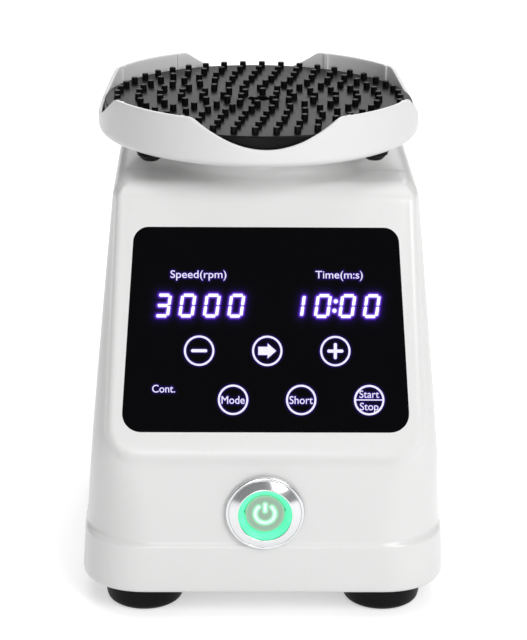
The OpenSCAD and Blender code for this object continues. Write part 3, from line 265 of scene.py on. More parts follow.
def buildBrushedLines():
    # fine turned or drawn lines for bare metal: stretched noise along one axis
    group, given, result = startGroup("brushedLines", [
        ("Vector", "NodeSocketVector", (0, 0, 0)),
        ("Base", "NodeSocketColor", (0.6, 0.6, 0.6, 1)),
        ("Roughness", "NodeSocketFloat", 0.3),
        ("Spread", "NodeSocketFloat", 0.2),
        ("Scale", "NodeSocketFloat", 900.0),
        ("Tarnish", "NodeSocketFloat", 0.1),
    ], [("Color", "NodeSocketColor"), ("Roughness", "NodeSocketFloat"), ("Height", "NodeSocketFloat")])
    tree = group
    split = tree.nodes.new("ShaderNodeSeparateXYZ")
    tree.links.new(given.outputs["Vector"], split.inputs[0])
    flat = tree.nodes.new("ShaderNodeCombineXYZ")
    tree.links.new(split.outputs["X"], flat.inputs["X"])
    tree.links.new(split.outputs["Y"], flat.inputs["Y"])
    length = tree.nodes.new("ShaderNodeVectorMath")
    length.operation = "LENGTH"
    tree.links.new(flat.outputs[0], length.inputs[0])
    drawn = tree.nodes.new("ShaderNodeCombineXYZ")
    tree.links.new(length.outputs["Value"], drawn.inputs["X"])
    tree.links.new(addMath(tree, "MULTIPLY", split.outputs["Z"], 0.35), drawn.inputs["Z"])
    lines = addNoise(tree, drawn.outputs[0], given.outputs["Scale"], 3.0)
    stain = addNoise(tree, given.outputs["Vector"], 90.0, 4.0, 0.6)
    rough = addMath(tree, "MULTIPLY_ADD", addMath(tree, "SUBTRACT", lines.outputs["Fac"], 0.5),
                    given.outputs["Spread"], given.outputs["Roughness"])
    dull = addMath(tree, "MULTIPLY", addMath(tree, "GREATER_THAN", stain.outputs["Fac"], 0.6),
                   given.outputs["Tarnish"])
    darker = addScaled(tree, given.outputs["Base"], addMath(tree, "SUBTRACT", 1.0, dull))
    tree.links.new(darker, result.inputs["Color"])
    tree.links.new(rough, result.inputs["Roughness"])
    tree.links.new(lines.outputs["Fac"], result.inputs["Height"])
    return group


surfaceTone = buildSurfaceTone()
brushedLines = buildBrushedLines()


# ---------- finishes ----------

def startFinish(name, centre=(0, 0, 0)):
    finish = bpy.data.materials.new(name)
    finish.use_nodes = True
    tree = finish.node_tree
    shader = tree.nodes["Principled BSDF"]
    spot = tree.nodes.new("ShaderNodeTexCoord")
    centred = tree.nodes.new("ShaderNodeMapping")
    centred.inputs["Location"].default_value = tuple(-c * mm for c in centre)
    tree.links.new(spot.outputs["Object"], centred.inputs["Vector"])
    return finish, tree, shader, centred.outputs["Vector"]


def addBump(tree, shader, height, strength, distance):
    bump = tree.nodes.new("ShaderNodeBump")
    bump.inputs["Strength"].default_value = strength
    bump.inputs["Distance"].default_value = distance
    tree.links.new(height, bump.inputs["Height"])
    tree.links.new(bump.outputs["Normal"], shader.inputs["Normal"])


def useGroup(tree, shader, vector, shared, look, labels):
    # labels pairs a socket of the shared group with a key of the look
    group = tree.nodes.new("ShaderNodeGroup")
    group.node_tree = shared
    tree.links.new(vector, group.inputs["Vector"])
    group.inputs["Base"].default_value = (*look["colour"], 1)
    for label, key in labels:
        if key in look:
            group.inputs[label].default_value = look[key]
    tree.links.new(group.outputs["Color"], shader.inputs["Base Color"])
    tree.links.new(group.outputs["Roughness"], shader.inputs["Roughness"])
    return group


def tonedFinish(name, look):
    finish, tree, shader, vector = startFinish(name)
    group = useGroup(tree, shader, vector, surfaceTone, look, (
        ("Drift", "drift"), ("Drift Scale", "driftScale"), ("Grain Scale", "grainScale"),
        ("Roughness", "roughness"), ("Roughness Spread", "spread"), ("Dust", "dust")))
    if "dustColour" in look:
        group.inputs["Dust Colour"].default_value = (*look["dustColour"], 1)
    addBump(tree, shader, group.outputs["Height"], look["bump"], look.get("depth", 0.0001))
    for label, value in look.get("fixed", {}).items():
        shader.inputs[label].default_value = value
    return finish


def metalFinish(name, look):
    finish, tree, shader, vector = startFinish(name, look.get("centre", (0, 0, 0)))
    if "turn" in look:
        vector.node.inputs["Rotation"].default_value = look["turn"]
    group = useGroup(tree, shader, vector, brushedLines, look, (
        ("Roughness", "roughness"), ("Spread", "spread"), ("Scale", "scale"), ("Tarnish", "tarnish")))
    shader.inputs["Metallic"].default_value = 1.0
    addBump(tree, shader, group.outputs["Height"], look.get("bump", 0.15), 0.00005)
    return finish


def boardFinish(name):
    # green solder mask over faint straight tracks
    finish, tree, shader, vector = startFinish(name)
    brick = tree.nodes.new("ShaderNodeTexBrick")
    brick.inputs["Scale"].default_value = 160.0
    brick.inputs["Mortar Size"].default_value = 0.05
    brick.inputs["Color1"].default_value = (0.012, 0.11, 0.04, 1)
    brick.inputs["Color2"].default_value = (0.014, 0.13, 0.05, 1)
    brick.inputs["Mortar"].default_value = (0.03, 0.24, 0.09, 1)
    tree.links.new(vector, brick.inputs["Vector"])
    tree.links.new(brick.outputs["Color"], shader.inputs["Base Color"])
    grain = addNoise(tree, vector, 700.0)
    tree.links.new(addMath(tree, "MULTIPLY_ADD", grain.outputs["Fac"], 0.2, 0.25), shader.inputs["Roughness"])
    addBump(tree, shader, brick.outputs["Fac"], 0.2, 0.0001)
    return finish


def litFinish(name, look):
    # a lit legend: even white or coloured light with a trace of unevenness
    finish, tree, shader, vector = startFinish(name)
    cloud = addNoise(tree, vector, look.get("scale", 500.0))
    light = addRamp(tree, cloud.outputs["Fac"], [(0.3, look["dim"]), (0.7, look["bright"])])
    tree.links.new(light, shader.inputs["Emission Color"])
    shader.inputs["Emission Strength"].default_value = look["strength"]
    shader.inputs["Base Color"].default_value = (*look.get("base", (0.02, 0.02, 0.02)), 1)
    shader.inputs["Roughness"].default_value = 0.4
    return finish


def glowFinish(name, look):
    # a dark or coloured surface that carries the light spilled by the legends next to it
    finish, tree, shader, vector = startFinish(name)
    spill = tree.nodes.new("ShaderNodeAttribute")
    spill.attribute_name = "spill"
    light = addRamp(tree, spill.outputs["Fac"], [(0.0, (0, 0, 0))] + look["glow"])
    tree.links.new(light, shader.inputs["Emission Color"])
    shader.inputs["Emission Strength"].default_value = look["strength"]
    smear = addNoise(tree, vector, 70.0, 4.0, 0.6)
    rough = addMath(tree, "MULTIPLY_ADD", smear.outputs["Fac"], look["spread"], look["roughness"])
    tree.links.new(rough, shader.inputs["Roughness"])
    paler = tuple(c * 1.15 + 0.0005 for c in look["colour"])
    tint = addRamp(tree, smear.outputs["Fac"], [(0.0, look["colour"]), (1.0, paler)])
    tree.links.new(tint, shader.inputs["Base Color"])
    for label, value in look.get("fixed", {}).items():
        shader.inputs[label].default_value = value
    return finish


finishes = {
    "shell": tonedFinish("glossyShell", {
        "colour": (0.80, 0.80, 0.795), "drift": 0.02, "driftScale": 18.0, "grainScale": 1400.0,
        "roughness": 0.30, "spread": 0.10, "dust": 0.06, "bump": 0.05, "depth": 0.00004,
        "fixed": {"Specular IOR Level": 0.5, "Coat Weight": 0.25, "Coat Roughness": 0.12}}),
    "tray": tonedFinish("trayEnamel", {
        "colour": (0.80, 0.80, 0.80), "drift": 0.02, "driftScale": 25.0, "grainScale": 1500.0,
        "roughness": 0.34, "spread": 0.10, "dust": 0.05, "bump": 0.05, "depth": 0.00004,
        "fixed": {"Coat Weight": 0.2, "Coat Roughness": 0.15}}),
    "base": tonedFinish("baseAbs", {
        "colour": (0.55, 0.55, 0.545), "drift": 0.05, "grainScale": 700.0, "roughness": 0.6,
        "bump": 0.35, "depth": 0.00015}),
    "pad": tonedFinish("padRubber", {
        "colour": (0.0045, 0.0042, 0.0045), "drift": 0.4, "driftScale": 60.0, "grainScale": 1200.0,
        "roughness": 0.38, "spread": 0.12, "dust": 0.08, "dustColour": (0.05, 0.045, 0.04), "bump": 0.3,
        "depth": 0.00008, "fixed": {"Specular IOR Level": 0.1}}),
    "foot": tonedFinish("footRubber", {
        "colour": (0.004, 0.004, 0.005), "drift": 0.5, "driftScale": 90.0, "grainScale": 800.0,
        "roughness": 0.45, "spread": 0.2, "dust": 0.12, "dustColour": (0.05, 0.048, 0.045), "bump": 0.4,
        "depth": 0.0001, "fixed": {"Specular IOR Level": 0.1}}),
    "seal": tonedFinish("sealRubber", {
        "colour": (0.004, 0.004, 0.004), "drift": 0.4, "grainScale": 900.0, "roughness": 0.38,
        "spread": 0.2, "bump": 0.25, "depth": 0.00008, "fixed": {"Specular IOR Level": 0.12}}),
    "blackPlastic": tonedFinish("blackNylon", {
        "colour": (0.022, 0.022, 0.023), "drift": 0.2, "grainScale": 1100.0, "roughness": 0.45,
        "spread": 0.15, "dust": 0.1, "dustColour": (0.09, 0.09, 0.09), "bump": 0.45, "depth": 0.00012}),
    "cable": tonedFinish("cableJacket", {
        "colour": (0.42, 0.42, 0.42), "drift": 0.1, "grainScale": 900.0, "roughness": 0.5, "bump": 0.2}),
    "display": tonedFinish("displayFrame", {
        "colour": (0.10, 0.095, 0.12), "drift": 0.1, "grainScale": 1000.0, "roughness": 0.35, "bump": 0.1}),
    "ballast": tonedFinish("castBallast", {
        "colour": (0.06, 0.06, 0.062), "drift": 0.5, "driftScale": 120.0, "grainScale": 450.0,
        "roughness": 0.75, "spread": 0.2, "bump": 0.7, "depth": 0.0003}),
    "steel": metalFinish("turnedSteel", {"colour": (0.56, 0.56, 0.57), "roughness": 0.28, "spread": 0.3}),
    "spring": metalFinish("springWire", {"colour": (0.46, 0.46, 0.48), "roughness": 0.22, "spread": 0.2,
                                         "scale": 1500.0}),
    "aluminium": metalFinish("machinedAluminium", {"colour": (0.72, 0.72, 0.73), "roughness": 0.34,
                                                   "spread": 0.35, "scale": 700.0}),
    "copper": metalFinish("windingCopper", {"colour": (0.78, 0.34, 0.16), "roughness": 0.25, "spread": 0.4,
                                            "scale": 2500.0, "bump": 0.6}),
    "brass": metalFinish("turnedBrass", {"colour": (0.78, 0.58, 0.25), "roughness": 0.25, "spread": 0.3}),
    "board": boardFinish("solderMask"),
    "bezel": metalFinish("polishedBezel", {
        "colour": (0.70, 0.71, 0.72), "roughness": 0.17, "spread": 0.12, "scale": 2600.0, "tarnish": 0.05,
        "bump": 0.06, "centre": (0, -66.5, 36.8), "turn": (math.pi / 2, 0, 0)}),
    "fuse": tonedFinish("fuseGlass", {
        "colour": (0.8, 0.84, 0.84), "drift": 0.05, "roughness": 0.08, "spread": 0.04, "bump": 0.02,
        "fixed": {"Transmission Weight": 0.8}}),
    "legend": litFinish("legendLight", {"dim": (0.80, 0.80, 1.0), "bright": (0.93, 0.92, 1.0),
                                        "strength": 1.0}),
    "digit": litFinish("digitLight", {"dim": (0.98, 0.95, 1.0), "bright": (1.0, 1.0, 1.0), "strength": 1.25}),
    "glass": glowFinish("controlGlass", {
        "glow": [(0.04, (0.0004, 0.0004, 0.002)), (0.3, (0.012, 0.003, 0.07)), (0.65, (0.09, 0.02, 0.50)),
                 (1.0, (0.34, 0.20, 1.0))],
        "strength": 1.0, "colour": (0.0012, 0.0012, 0.0018), "roughness": 0.06, "spread": 0.05,
        "fixed": {"Specular IOR Level": 0.07}}),
    "ring": litFinish("ringLight", {"dim": (0.060, 0.86, 0.40), "bright": (0.11, 0.98, 0.52), "scale": 260.0,
                                    "strength": 0.86, "base": (0.10, 0.35, 0.22)}),
    # the cap is grey metal; the green tint of its colour and its green emission are painted glow from the
    # light ring and the lit sign
    "cap": glowFinish("capMetalPaintedGlow", {
        "glow": [(0.1, (0.0, 0.02, 0.008)), (0.5, (0.05, 0.45, 0.18)), (1.0, (0.20, 1.0, 0.60))],
        "strength": 1.1, "colour": (0.30, 0.40, 0.32), "roughness": 0.34, "spread": 0.12,
        "fixed": {"Metallic": 0.35}}),
    "powerSign": litFinish("powerSignLight", {"dim": (0.62, 1.0, 0.84), "bright": (0.85, 1.0, 0.95),
                                              "strength": 1.1}),
}
print("finishes made:", len(finishes))


# ---------- the moulded shell ----------

shellForm = {
    "plinthHalf": 57.6, "plinthDraft": 0.75, "plinthTall": 16.0, "plinthDeep": 66.5, "plinthRound": 19.0,
    "floor": 9.0, "ledge": 25.3, "ledgeSoft": 1.0, "ledgeFillet": 1.2,
    "columnHalf": 56.6, "taper": 0.0751, "bow": 9.4e-5, "columnDeep": 66.0,
    "columnRound": 22.0, "foldRound": 15.0, "shoulderRound": 7.5,
    "rearLean": math.radians(10), "crown": 4.2,
    "fieldDrop": 2.0, "fieldLow": 49.7, "fieldNarrow": 0.040, "fieldRound": 11.0, "fieldOut": 0.85,
    "fieldEdge": 2.3,
    "neck": 33.0, "neckSoft": 1.2, "neckFillet": 5.0, "bore": 27.0,
    "lip": 3.2, "holeHalfX": 14.8, "holeHalfZ": 15.2, "holeRound": 9.8, "seatRound": 11.8, "seatDeep": 0.9,
}


def easeRamp(t, width):
    return np.where(t <= -width, 0.0, np.where(t >= width, t, (t + width) ** 2 / (4 * width)))


def roundCorner(qx, qy, r):
    return np.hypot(np.maximum(qx, 0), np.maximum(qy, 0)) + np.minimum(np.maximum(qx, qy), 0) - r


def roundedBox(x, y, halfX, halfY, r):
    return roundCorner(np.abs(x) - halfX + r, np.abs(y) - halfY + r, r)


def softCut(a, b, r):
    # both forms meet in an outer edge with round r
    return np.minimum(np.maximum(a + r, b + r), 0) + np.hypot(np.maximum(a + r, 0), np.maximum(b + r, 0)) - r


def softJoin(a, b, r):
    # both forms join with a fillet r
    return np.maximum(r, np.minimum(a, b)) - np.hypot(np.maximum(r - a, 0), np.maximum(r - b, 0))


def columnPlan(z):
    f = shellForm
    t = z - f["ledge"]
    half = f["columnHalf"] - f["taper"] * t - f["bow"] * t * np.maximum(t, 0)
    front = -f["columnDeep"] + math.tan(mixer["lean"]) * easeRamp(z - mixer["fold"], 3.0)
    rear = f["columnDeep"] - math.tan(f["rearLean"]) * easeRamp(z - mixer["fold"], 8.0)
    low = np.clip((z - f["ledge"]) / (mixer["fold"] - f["ledge"]), 0, 1)
    high = np.clip((z - mixer["fold"]) / 75, 0, 1)
    corner = f["columnRound"] - (f["columnRound"] - f["foldRound"]) * low * low * (3 - 2 * low)
    return half, front, rear, corner - (f["foldRound"] - f["shoulderRound"]) * high


def shellDepth(x, y, z):
    # how far a point lies outside the shell, negative inside
    f = shellForm
    wide = f["plinthHalf"] - f["plinthDraft"] * (z - f["floor"]) / f["plinthTall"]
    plinth = roundedBox(x, y, wide, f["plinthDeep"], f["plinthRound"])
    plinth = softCut(plinth, z - f["ledge"], f["ledgeSoft"])
    half, front, rear, corner = columnPlan(z)
    column = roundedBox(x, y - (front + rear) / 2, half, (rear - front) / 2, corner)
    column = softCut(column, z - mixer["deck"], f["crown"])
    s, c = math.sin(mixer["lean"]), math.cos(mixer["lean"])
    up = (y + f["columnDeep"]) * s + (z - mixer["fold"]) * c
    out = -(y + f["columnDeep"]) * c + (z - mixer["fold"]) * s
    qx = np.abs(x) - (f["fieldLow"] - f["fieldNarrow"] * up) + f["fieldRound"]
    qy = -up - f["fieldDrop"] + f["fieldRound"]
    field = softCut(roundCorner(qx, qy, f["fieldRound"]), out - f["fieldOut"], f["fieldEdge"])
    field = np.maximum(softCut(field, z - mixer["deck"], f["crown"] + 0.8), -out - 16)
    neck = softCut(np.hypot(x, y) - f["neck"], z - mixer["neckTop"], f["neckSoft"])
    body = softJoin(softJoin(column, field, 1.6), neck, f["neckFillet"])
    return softJoin(body, plinth, f["ledgeFillet"])


def reachOut(origin, heading, far=60.0):
    # walks each ray to the surface by halving
    low, high = np.zeros(len(origin)), np.full(len(origin), far)
    for step in range(28):
        middle = (low + high) / 2
        spot = origin + heading * middle[:, None]
        inside = shellDepth(spot[:, 0], spot[:, 1], spot[:, 2]) < 0
        low, high = np.where(inside, middle, low), np.where(inside, high, middle)
    return origin + heading * low[:, None]


def spacedOut(marks):
    # marks are (value, step after it); gives values from the first mark to the last
    values = []
    for (a, step), (b, _) in zip(marks, marks[1:]):
        n = max(1, round((b - a) / step))
        values += [a + (b - a) * k / n for k in range(n)]
    return np.array(values + [marks[-1][0]])


def makeShell():
    core = 25.0                                   # the rays start this far inside the walls
    fan = spacedOut([(0, 3.0), (30, 1.5), (36, 0.75), (52, 1.5), (60, 3.0), (90, 1)])
    plain = spacedOut([(0, 4.5), (90, 1)])
    corners, headings = [], []                    # skeleton spot as a share of the half sizes, and heading
    sides = ((1, -1, fan, -90), (1, 1, plain, 0), (-1, 1, plain, 90), (-1, -1, fan[::-1], 180))
    for n, (sx, sy, angles, start) in enumerate(sides):
        turn = angles if sy > 0 or sx > 0 else 90 - angles
        for a in turn:
            corners.append((sx, sy))
            headings.append(math.radians(start + a))
        nextX, nextY = sides[(n + 1) % 4][:2]
        count = 30
        for k in range(1, count):
            t = k / count
            corners.append((sx + (nextX - sx) * t, sy + (nextY - sy) * t))
            headings.append(math.radians(start + 90))
    share = np.array(corners)
    heading = np.array([[math.cos(a), math.sin(a), 0.0] for a in headings])

    def ringAt(z):
        half, front, rear, corner = columnPlan(np.array([z]))
        middle, deep = (front[0] + rear[0]) / 2, (rear[0] - front[0]) / 2
        origin = np.stack([share[:, 0] * (half[0] - core), middle + share[:, 1] * (deep - core),
                           np.full(len(share), z)], axis=1)
        return reachOut(origin, heading)

    up = np.array([0, 0, 1.0])
    foot = ringAt(10.2)
    lip = shellForm["lip"]
    # the lip's section, as steps inwards and up from the foot of the wall
    section = ((lip, 1.4), (lip, -0.9), (lip - 0.3, -1.2), (0.9, -1.2), (0.35, -1.0), (0.06, -0.5))
    rows = [foot - heading * back + up * rise for back, rise in section]
    levels = spacedOut([(10.2, 2.6), (20.8, 0.9), (23.5, 0.4), (28.2, 0.9), (31, 2.2), (50, 1.0), (64, 2.2),
                        (122, 1.2), (128, 1)])
    rows += [ringAt(z) for z in levels]
    rim = rows[-1]
    hinge = rim - heading * 4.0
    for a in np.radians(np.arange(9, 91, 9)):
        rows.append(reachOut(hinge, heading * math.cos(a) + up * math.sin(a), 30.0))
    around = np.arctan2(hinge[:, 1], hinge[:, 0])
    circle = np.stack([np.cos(around), np.sin(around), np.zeros(len(around))], axis=1)
    low = hinge * [1, 1, 0] + up * 120
    for t in spacedOut([(0.06, 0.07), (0.7, 0.04), (1, 1)]):
        start = low * (1 - t) + (circle * 33.7 + up * 120) * t
        rows.append(reachOut(start, np.broadcast_to(up, start.shape), 30.0))
    for r, z in softProfile([(33.35, 138.2, 0), (32.9, 139.95, 1.1), (27.0, 140, 0.8), (27.0, 137, 0),
                             (26.9, 130, 0)]):
        rows.append(circle * r + up * z)
    bm = bmesh.new()
    wrapSheet(bm, np.array(rows))
    turnOut(bm)
    form = shellForm
    opened = []                                   # the inlet's opening behind, the button's hole in front
    for face in bm.faces:
        x, y, z = face.calc_center_median() / mm
        z -= mixer["buttonHeight"]
        behind = y > 60 and abs(x) < form["holeHalfX"] and abs(z) < form["holeHalfZ"]
        if behind or (y < -60 and math.hypot(x, z) < form["holeRound"]):
            opened.append(face)
    bmesh.ops.delete(bm, geom=opened, context="FACES")
    seat = bmesh.new()                            # flat seat of the bezel, level with the plinth's front
    inner, outer, deep = form["holeRound"], form["seatRound"], -form["seatDeep"]
    lathe(seat, [(inner, deep), (outer, deep), (outer, 0), (inner, 0), (inner, deep)], 96)
    place(seat, buttonPlace())
    joinInto(bm, seat)
    return addPiece(bm, "mouldedShell", "base", finishes["shell"], ["housing"], crease=50)


shellPiece = makeShell()
print("shell:", len(shellPiece.data.polygons), "faces")


# ---------- tray, pad and plugs ----------

trayForm = {
    "radius": 51.5, "wall": 1.2, "floor": 2.0, "edge": 2.4, "lobe": 14.7, "cut": 5.7, "half": 24.0,
    "low": 0.9,
    "hole": 2.75, "columns": 360, "soft": 0.35, "ribTurn": math.radians(15), "ribHalf": math.radians(0.68),
    "ribDepth": 0.5,
}


def rimHeight(turn):
    # a low curve across each of the four cut-outs that meets a short shoulder at the lobes
    f = trayForm
    off = (turn + math.pi / 4) % (math.pi / 2) - math.pi / 4
    across = min(abs(f["radius"] * math.sin(off)) / f["half"], 1.0)
    rise = across ** 2 / f["low"] if across < f["low"] else 1 - (1 - across) ** 2 / (1 - f["low"])
    return f["cut"] + (f["lobe"] - f["cut"]) * rise


def trayTurns():
    # even columns, and a close pair at each side of the ribs
    f = trayForm
    turns = [fullTurn * k / f["columns"] for k in range(f["columns"])]
    for lobe in range(4):
        for side in (-1, 1):
            rib = (lobe + 0.5) * math.pi / 2 + side * f["ribTurn"]
            for edge in (-1, 1):
                turns += [rib + edge * f["ribHalf"], rib + edge * (f["ribHalf"] + math.radians(0.12))]
    return sorted(turns)


def makeTray():
    f = trayForm
    spots = []
    for turn in trayTurns():
        off = abs(turn % (math.pi / 2) - math.pi / 4)
        inner = f["radius"] - f["wall"]
        if abs(off - f["ribTurn"]) < f["ribHalf"] + math.radians(0.05):
            inner -= f["ribDepth"]
        outer, top, soft = f["radius"], rimHeight(turn), f["soft"]
        lineUp = [(f["hole"], f["floor"]), (f["hole"], 0), (15, 0), (30, 0), (42, 0)]
        for a in range(0, 91, 15):
            t = math.radians(a)
            lineUp.append((outer + f["edge"] * (math.sin(t) - 1), f["edge"] * (1 - math.cos(t))))
        lineUp += [(outer, f["edge"] + (top - soft - f["edge"]) * n / 9) for n in range(1, 10)]
        for a in (30, 60, 90):
            t = math.radians(a)
            lineUp.append((outer - soft + soft * math.cos(t), top - soft + soft * math.sin(t)))
        for a in (90, 120, 150):
            t = math.radians(a)
            lineUp.append((inner + soft + soft * math.cos(t), top - soft + soft * math.sin(t)))
        lineUp += [(inner, top - soft - (top - soft - f["floor"] - 1) * n / 9) for n in range(0, 10)]
        lineUp += [(inner - 0.3, f["floor"] + 0.3)]
        lineUp += [(r, f["floor"]) for r in (inner - 1, 40, 25, 12, f["hole"])]
        spots.append([(r * math.cos(turn), r * math.sin(turn), z) for r, z in lineUp])
    bm = bmesh.new()
    wrapSheet(bm, np.array(spots).transpose(1, 0, 2))
    place(bm, headPlace(mixer["trayBase"]))
    closeUp(bm)
    turnOut(bm)
    return addPiece(bm, "lobedTray", "head", finishes["tray"], ["tray"], crease=28)


padForm = {
    "radius": 49.5, "thick": 7.3, "edge": 0.5, "pin": 1.1, "pinTop": 1.04, "pinHeight": 2.0,
    "outerRing": 45.6, "ringStep": 6.85, "innerRing": 5.9, "hole": 3.4, "rowAngle": 77.7,
    "counts": (44, 38, 30, 24, 18, 12, 6), "turns": (0, 0, 0, 0, 2.5, 7.5, -3),
}


def makePad():
    f = padForm
    profile = softProfile([
        (f["hole"], 1.5, 0), (f["hole"], f["thick"], 0.35), (f["radius"], f["thick"], f["edge"]),
        (f["radius"], 0, f["edge"]), (f["hole"] + 2, 0, 0)], 3)
    bm = bmesh.new()
    lathe(bm, [(r, z - f["thick"]) for r, z in profile + profile[:1]], 240)
    turnOut(bm)
    for ring, (count, turn) in enumerate(zip(f["counts"], f["turns"])):
        r = max(f["outerRing"] - ring * f["ringStep"], f["innerRing"])
        for i in range(count):
            a = math.radians(f["rowAngle"] + turn) + fullTurn * i / count
            spot = Vector((r * math.cos(a), r * math.sin(a), f["pinHeight"] / 2 - 0.05)) * mm
            bmesh.ops.create_cone(bm, cap_ends=True, segments=14, radius1=f["pin"] * mm,
                                  radius2=f["pinTop"] * mm, depth=(f["pinHeight"] + 0.1) * mm,
                                  matrix=Matrix.Translation(spot))
    high = f["pinHeight"] * mm - 1e-5
    tops = [e for e in bm.edges if all(v.co.z > high for v in e.verts)]
    bmesh.ops.bevel(bm, geom=tops, offset=0.14 * mm, segments=1, affect="EDGES", profile=0.5, material=-1)
    place(bm, headPlace(mixer["padTop"]))
    return addPiece(bm, "pinPad", "head", finishes["pad"], ["rubber_pad"], crease=40)


plugForm = {"out": 45.2, "turns": (39.5, 140.5, 219.5, 320.5)}


def makePlugs():
    bm = bmesh.new()
    profile = softProfile([(0, 2.0, 0), (1.8, 2.0, 0.2), (1.8, 0.0, 0), (4.1, 0.0, 0.2), (4.5, -0.5, 0.25),
                           (3.95, -0.85, 0.15), (4.3, -1.2, 0.2), (3.6, -1.6, 0.15), (3.3, -2.1, 0.3),
                           (2.3, -3.1, 0.5), (0, -3.1, 0)], 3)
    for a in plugForm["turns"]:
        one = bmesh.new()
        lathe(one, profile, 32)
        out = Matrix.Translation(Vector((plugForm["out"], 0, 0)) * mm)
        spot = Matrix.Rotation(math.radians(a), 4, "Z") @ out
        place(one, headPlace(mixer["trayBase"]) @ spot)
        joinInto(bm, one)
    return addPiece(bm, "padPlugs", "head", finishes["seal"], ["pad_plugs"], crease=40)


makeTray()
makePad()
makePlugs()
print("tray, pad and plugs made")


# ---------- control glass and its lit legends ----------

glassForm = {
    "low": 44.65, "high": 40.9, "rise": 6.7, "length": 63.6, "thick": 1.8, "top": 1.0,
    "roundLow": 6.3, "roundHigh": 4.6, "edge": 0.3,
}
legendForm = {"lift": 0.012, "ring": 4.68, "stroke": 0.6}


def extrudeUp(bm, faces, height):
    made = bmesh.ops.extrude_face_region(bm, geom=faces)
    verts = [g for g in made["geom"] if isinstance(g, bmesh.types.BMVert)]
    bmesh.ops.translate(bm, vec=(0, 0, height * mm), verts=verts)
    return verts


def makeSlab():
    f = glassForm
    bm = bmesh.new()
    ends = [(-f["low"], f["rise"]), (f["low"], f["rise"]), (f["high"], f["rise"] + f["length"]),
            (-f["high"], f["rise"] + f["length"])]
    face = bm.faces.new([bm.verts.new((x * mm, y * mm, 0)) for x, y in ends])
    for keep, offset in ((lambda v: v.co.y < 0.03, f["roundLow"]), (lambda v: v.co.y > 0.06, f["roundHigh"])):
        picked = [v for v in bm.verts if keep(v)]
        bmesh.ops.bevel(bm, geom=picked, offset=offset * mm, segments=10, affect="VERTICES", profile=0.5,
                        material=-1)
    extrudeUp(bm, bm.faces[:], f["thick"])
    rim = [e for e in bm.edges if all(v.co.z > f["thick"] * mm * 0.9 for v in e.verts)]
    bmesh.ops.bevel(bm, geom=rim, offset=f["edge"] * mm, segments=3, affect="EDGES", profile=0.5, material=-1)
    bmesh.ops.recalc_face_normals(bm, faces=bm.faces)
    bmesh.ops.translate(bm, vec=(0, 0, (f["top"] - f["thick"]) * mm), verts=bm.verts)
    return bm


def addWord(bm, words, x, y, width, height):
    # words as a flat mesh, fitted to a width and a capital height
    curve = bpy.data.curves.new("words", "FONT")
    curve.body = words
    curve.size = 1.0
    curve.resolution_u = 6
    holder = bpy.data.objects.new("words", curve)
    bpy.context.scene.collection.objects.link(holder)
    bpy.context.view_layer.update()
    mesh = bpy.data.meshes.new_from_object(holder)
    bpy.data.objects.remove(holder)
    bpy.data.curves.remove(curve)
    xs = [v.co.x for v in mesh.vertices]
    middle, wide = (min(xs) + max(xs)) / 2, max(xs) - min(xs)
    capital = 0.70                                # height of a capital in a font of size 1
    grow = Matrix.Diagonal((width / wide * mm, height / capital * mm, 1, 1))
    spot = Matrix.Translation(Vector((x, y - height / 2, 0)) * mm)
    mesh.transform(spot @ grow @ Matrix.Translation((-middle, 0, 0)))
    bm.from_mesh(mesh)
    bpy.data.meshes.remove(mesh)


def addRing(bm, x, y, outer, stroke, steps=48):
    made = bmesh.ops.create_circle(bm, cap_ends=True, segments=steps, radius=outer * mm,
                                   matrix=Matrix.Translation(Vector((x, y, 0)) * mm))
    face = list(made["verts"][0].link_faces)
    bmesh.ops.inset_region(bm, faces=face, thickness=stroke * mm, use_boundary=True, use_even_offset=True)
    bmesh.ops.delete(bm, geom=face, context="FACES")


def addBar(bm, x, y, length, thick, turn=0.0, soft=0.5, slant=0.0):
    # a bar with round ends, leaning by slant
    made = bmesh.ops.create_grid(bm, x_segments=1, y_segments=1, size=0.5)
    verts = made["verts"]
    bmesh.ops.scale(bm, vec=(length * mm, thick * mm, 1), verts=verts)
    rounded = bmesh.ops.bevel(bm, geom=verts, offset=thick * soft * 0.98 * mm, segments=4, affect="VERTICES",
                              profile=0.5, material=-1)
    verts = list({v for f in rounded["faces"] for v in f.verts} | set(rounded["verts"]))
    island = set(verts)
    for v in verts:
        for e in v.link_edges:
            island.update(e.verts)
    lean = Matrix.Identity(4)
    lean[0][1] = slant
    where = Matrix.Translation(Vector((x, y, 0)) * mm) @ lean @ Matrix.Rotation(math.radians(turn), 4, "Z")
    bmesh.ops.transform(bm, matrix=where, verts=list(island))


digitForm = {
    "height": 7.3, "width": 3.75, "stroke": 0.92, "gap": 0.10, "slant": 0.14, "pitch": 7.54,
    "level": 45.9, "speedX": -20.5, "timeX": 21.3,
}
segmentTable = {"0": "abcdef", "1": "bc", "3": "abcdg"}


def addDigit(bm, digit, x, y):
    # seven bars, a at the top, clockwise to f, g in the middle; they lean to the right
    f = digitForm
    w, h, t, lean = f["width"] / 2, f["height"] / 2, f["stroke"], f["slant"]
    reach = h - t / 2
    bars = {"a": (0, reach, 0), "g": (0, 0, 0), "d": (0, -reach, 0),
            "b": (w, reach / 2, 90), "c": (w, -reach / 2, 90),
            "e": (-w, -reach / 2, 90), "f": (-w, reach / 2, 90)}
    for key in segmentTable[digit]:
        bx, by, turn = bars[key]
        length = (2 * w - 2 * f["gap"] - 0.5 * t) if turn == 0 else (reach - 2 * f["gap"] - 0.15 * t)
        addBar(bm, x + bx + by * lean, y + by, length, t, turn, 0.42, lean if turn else 0.0)


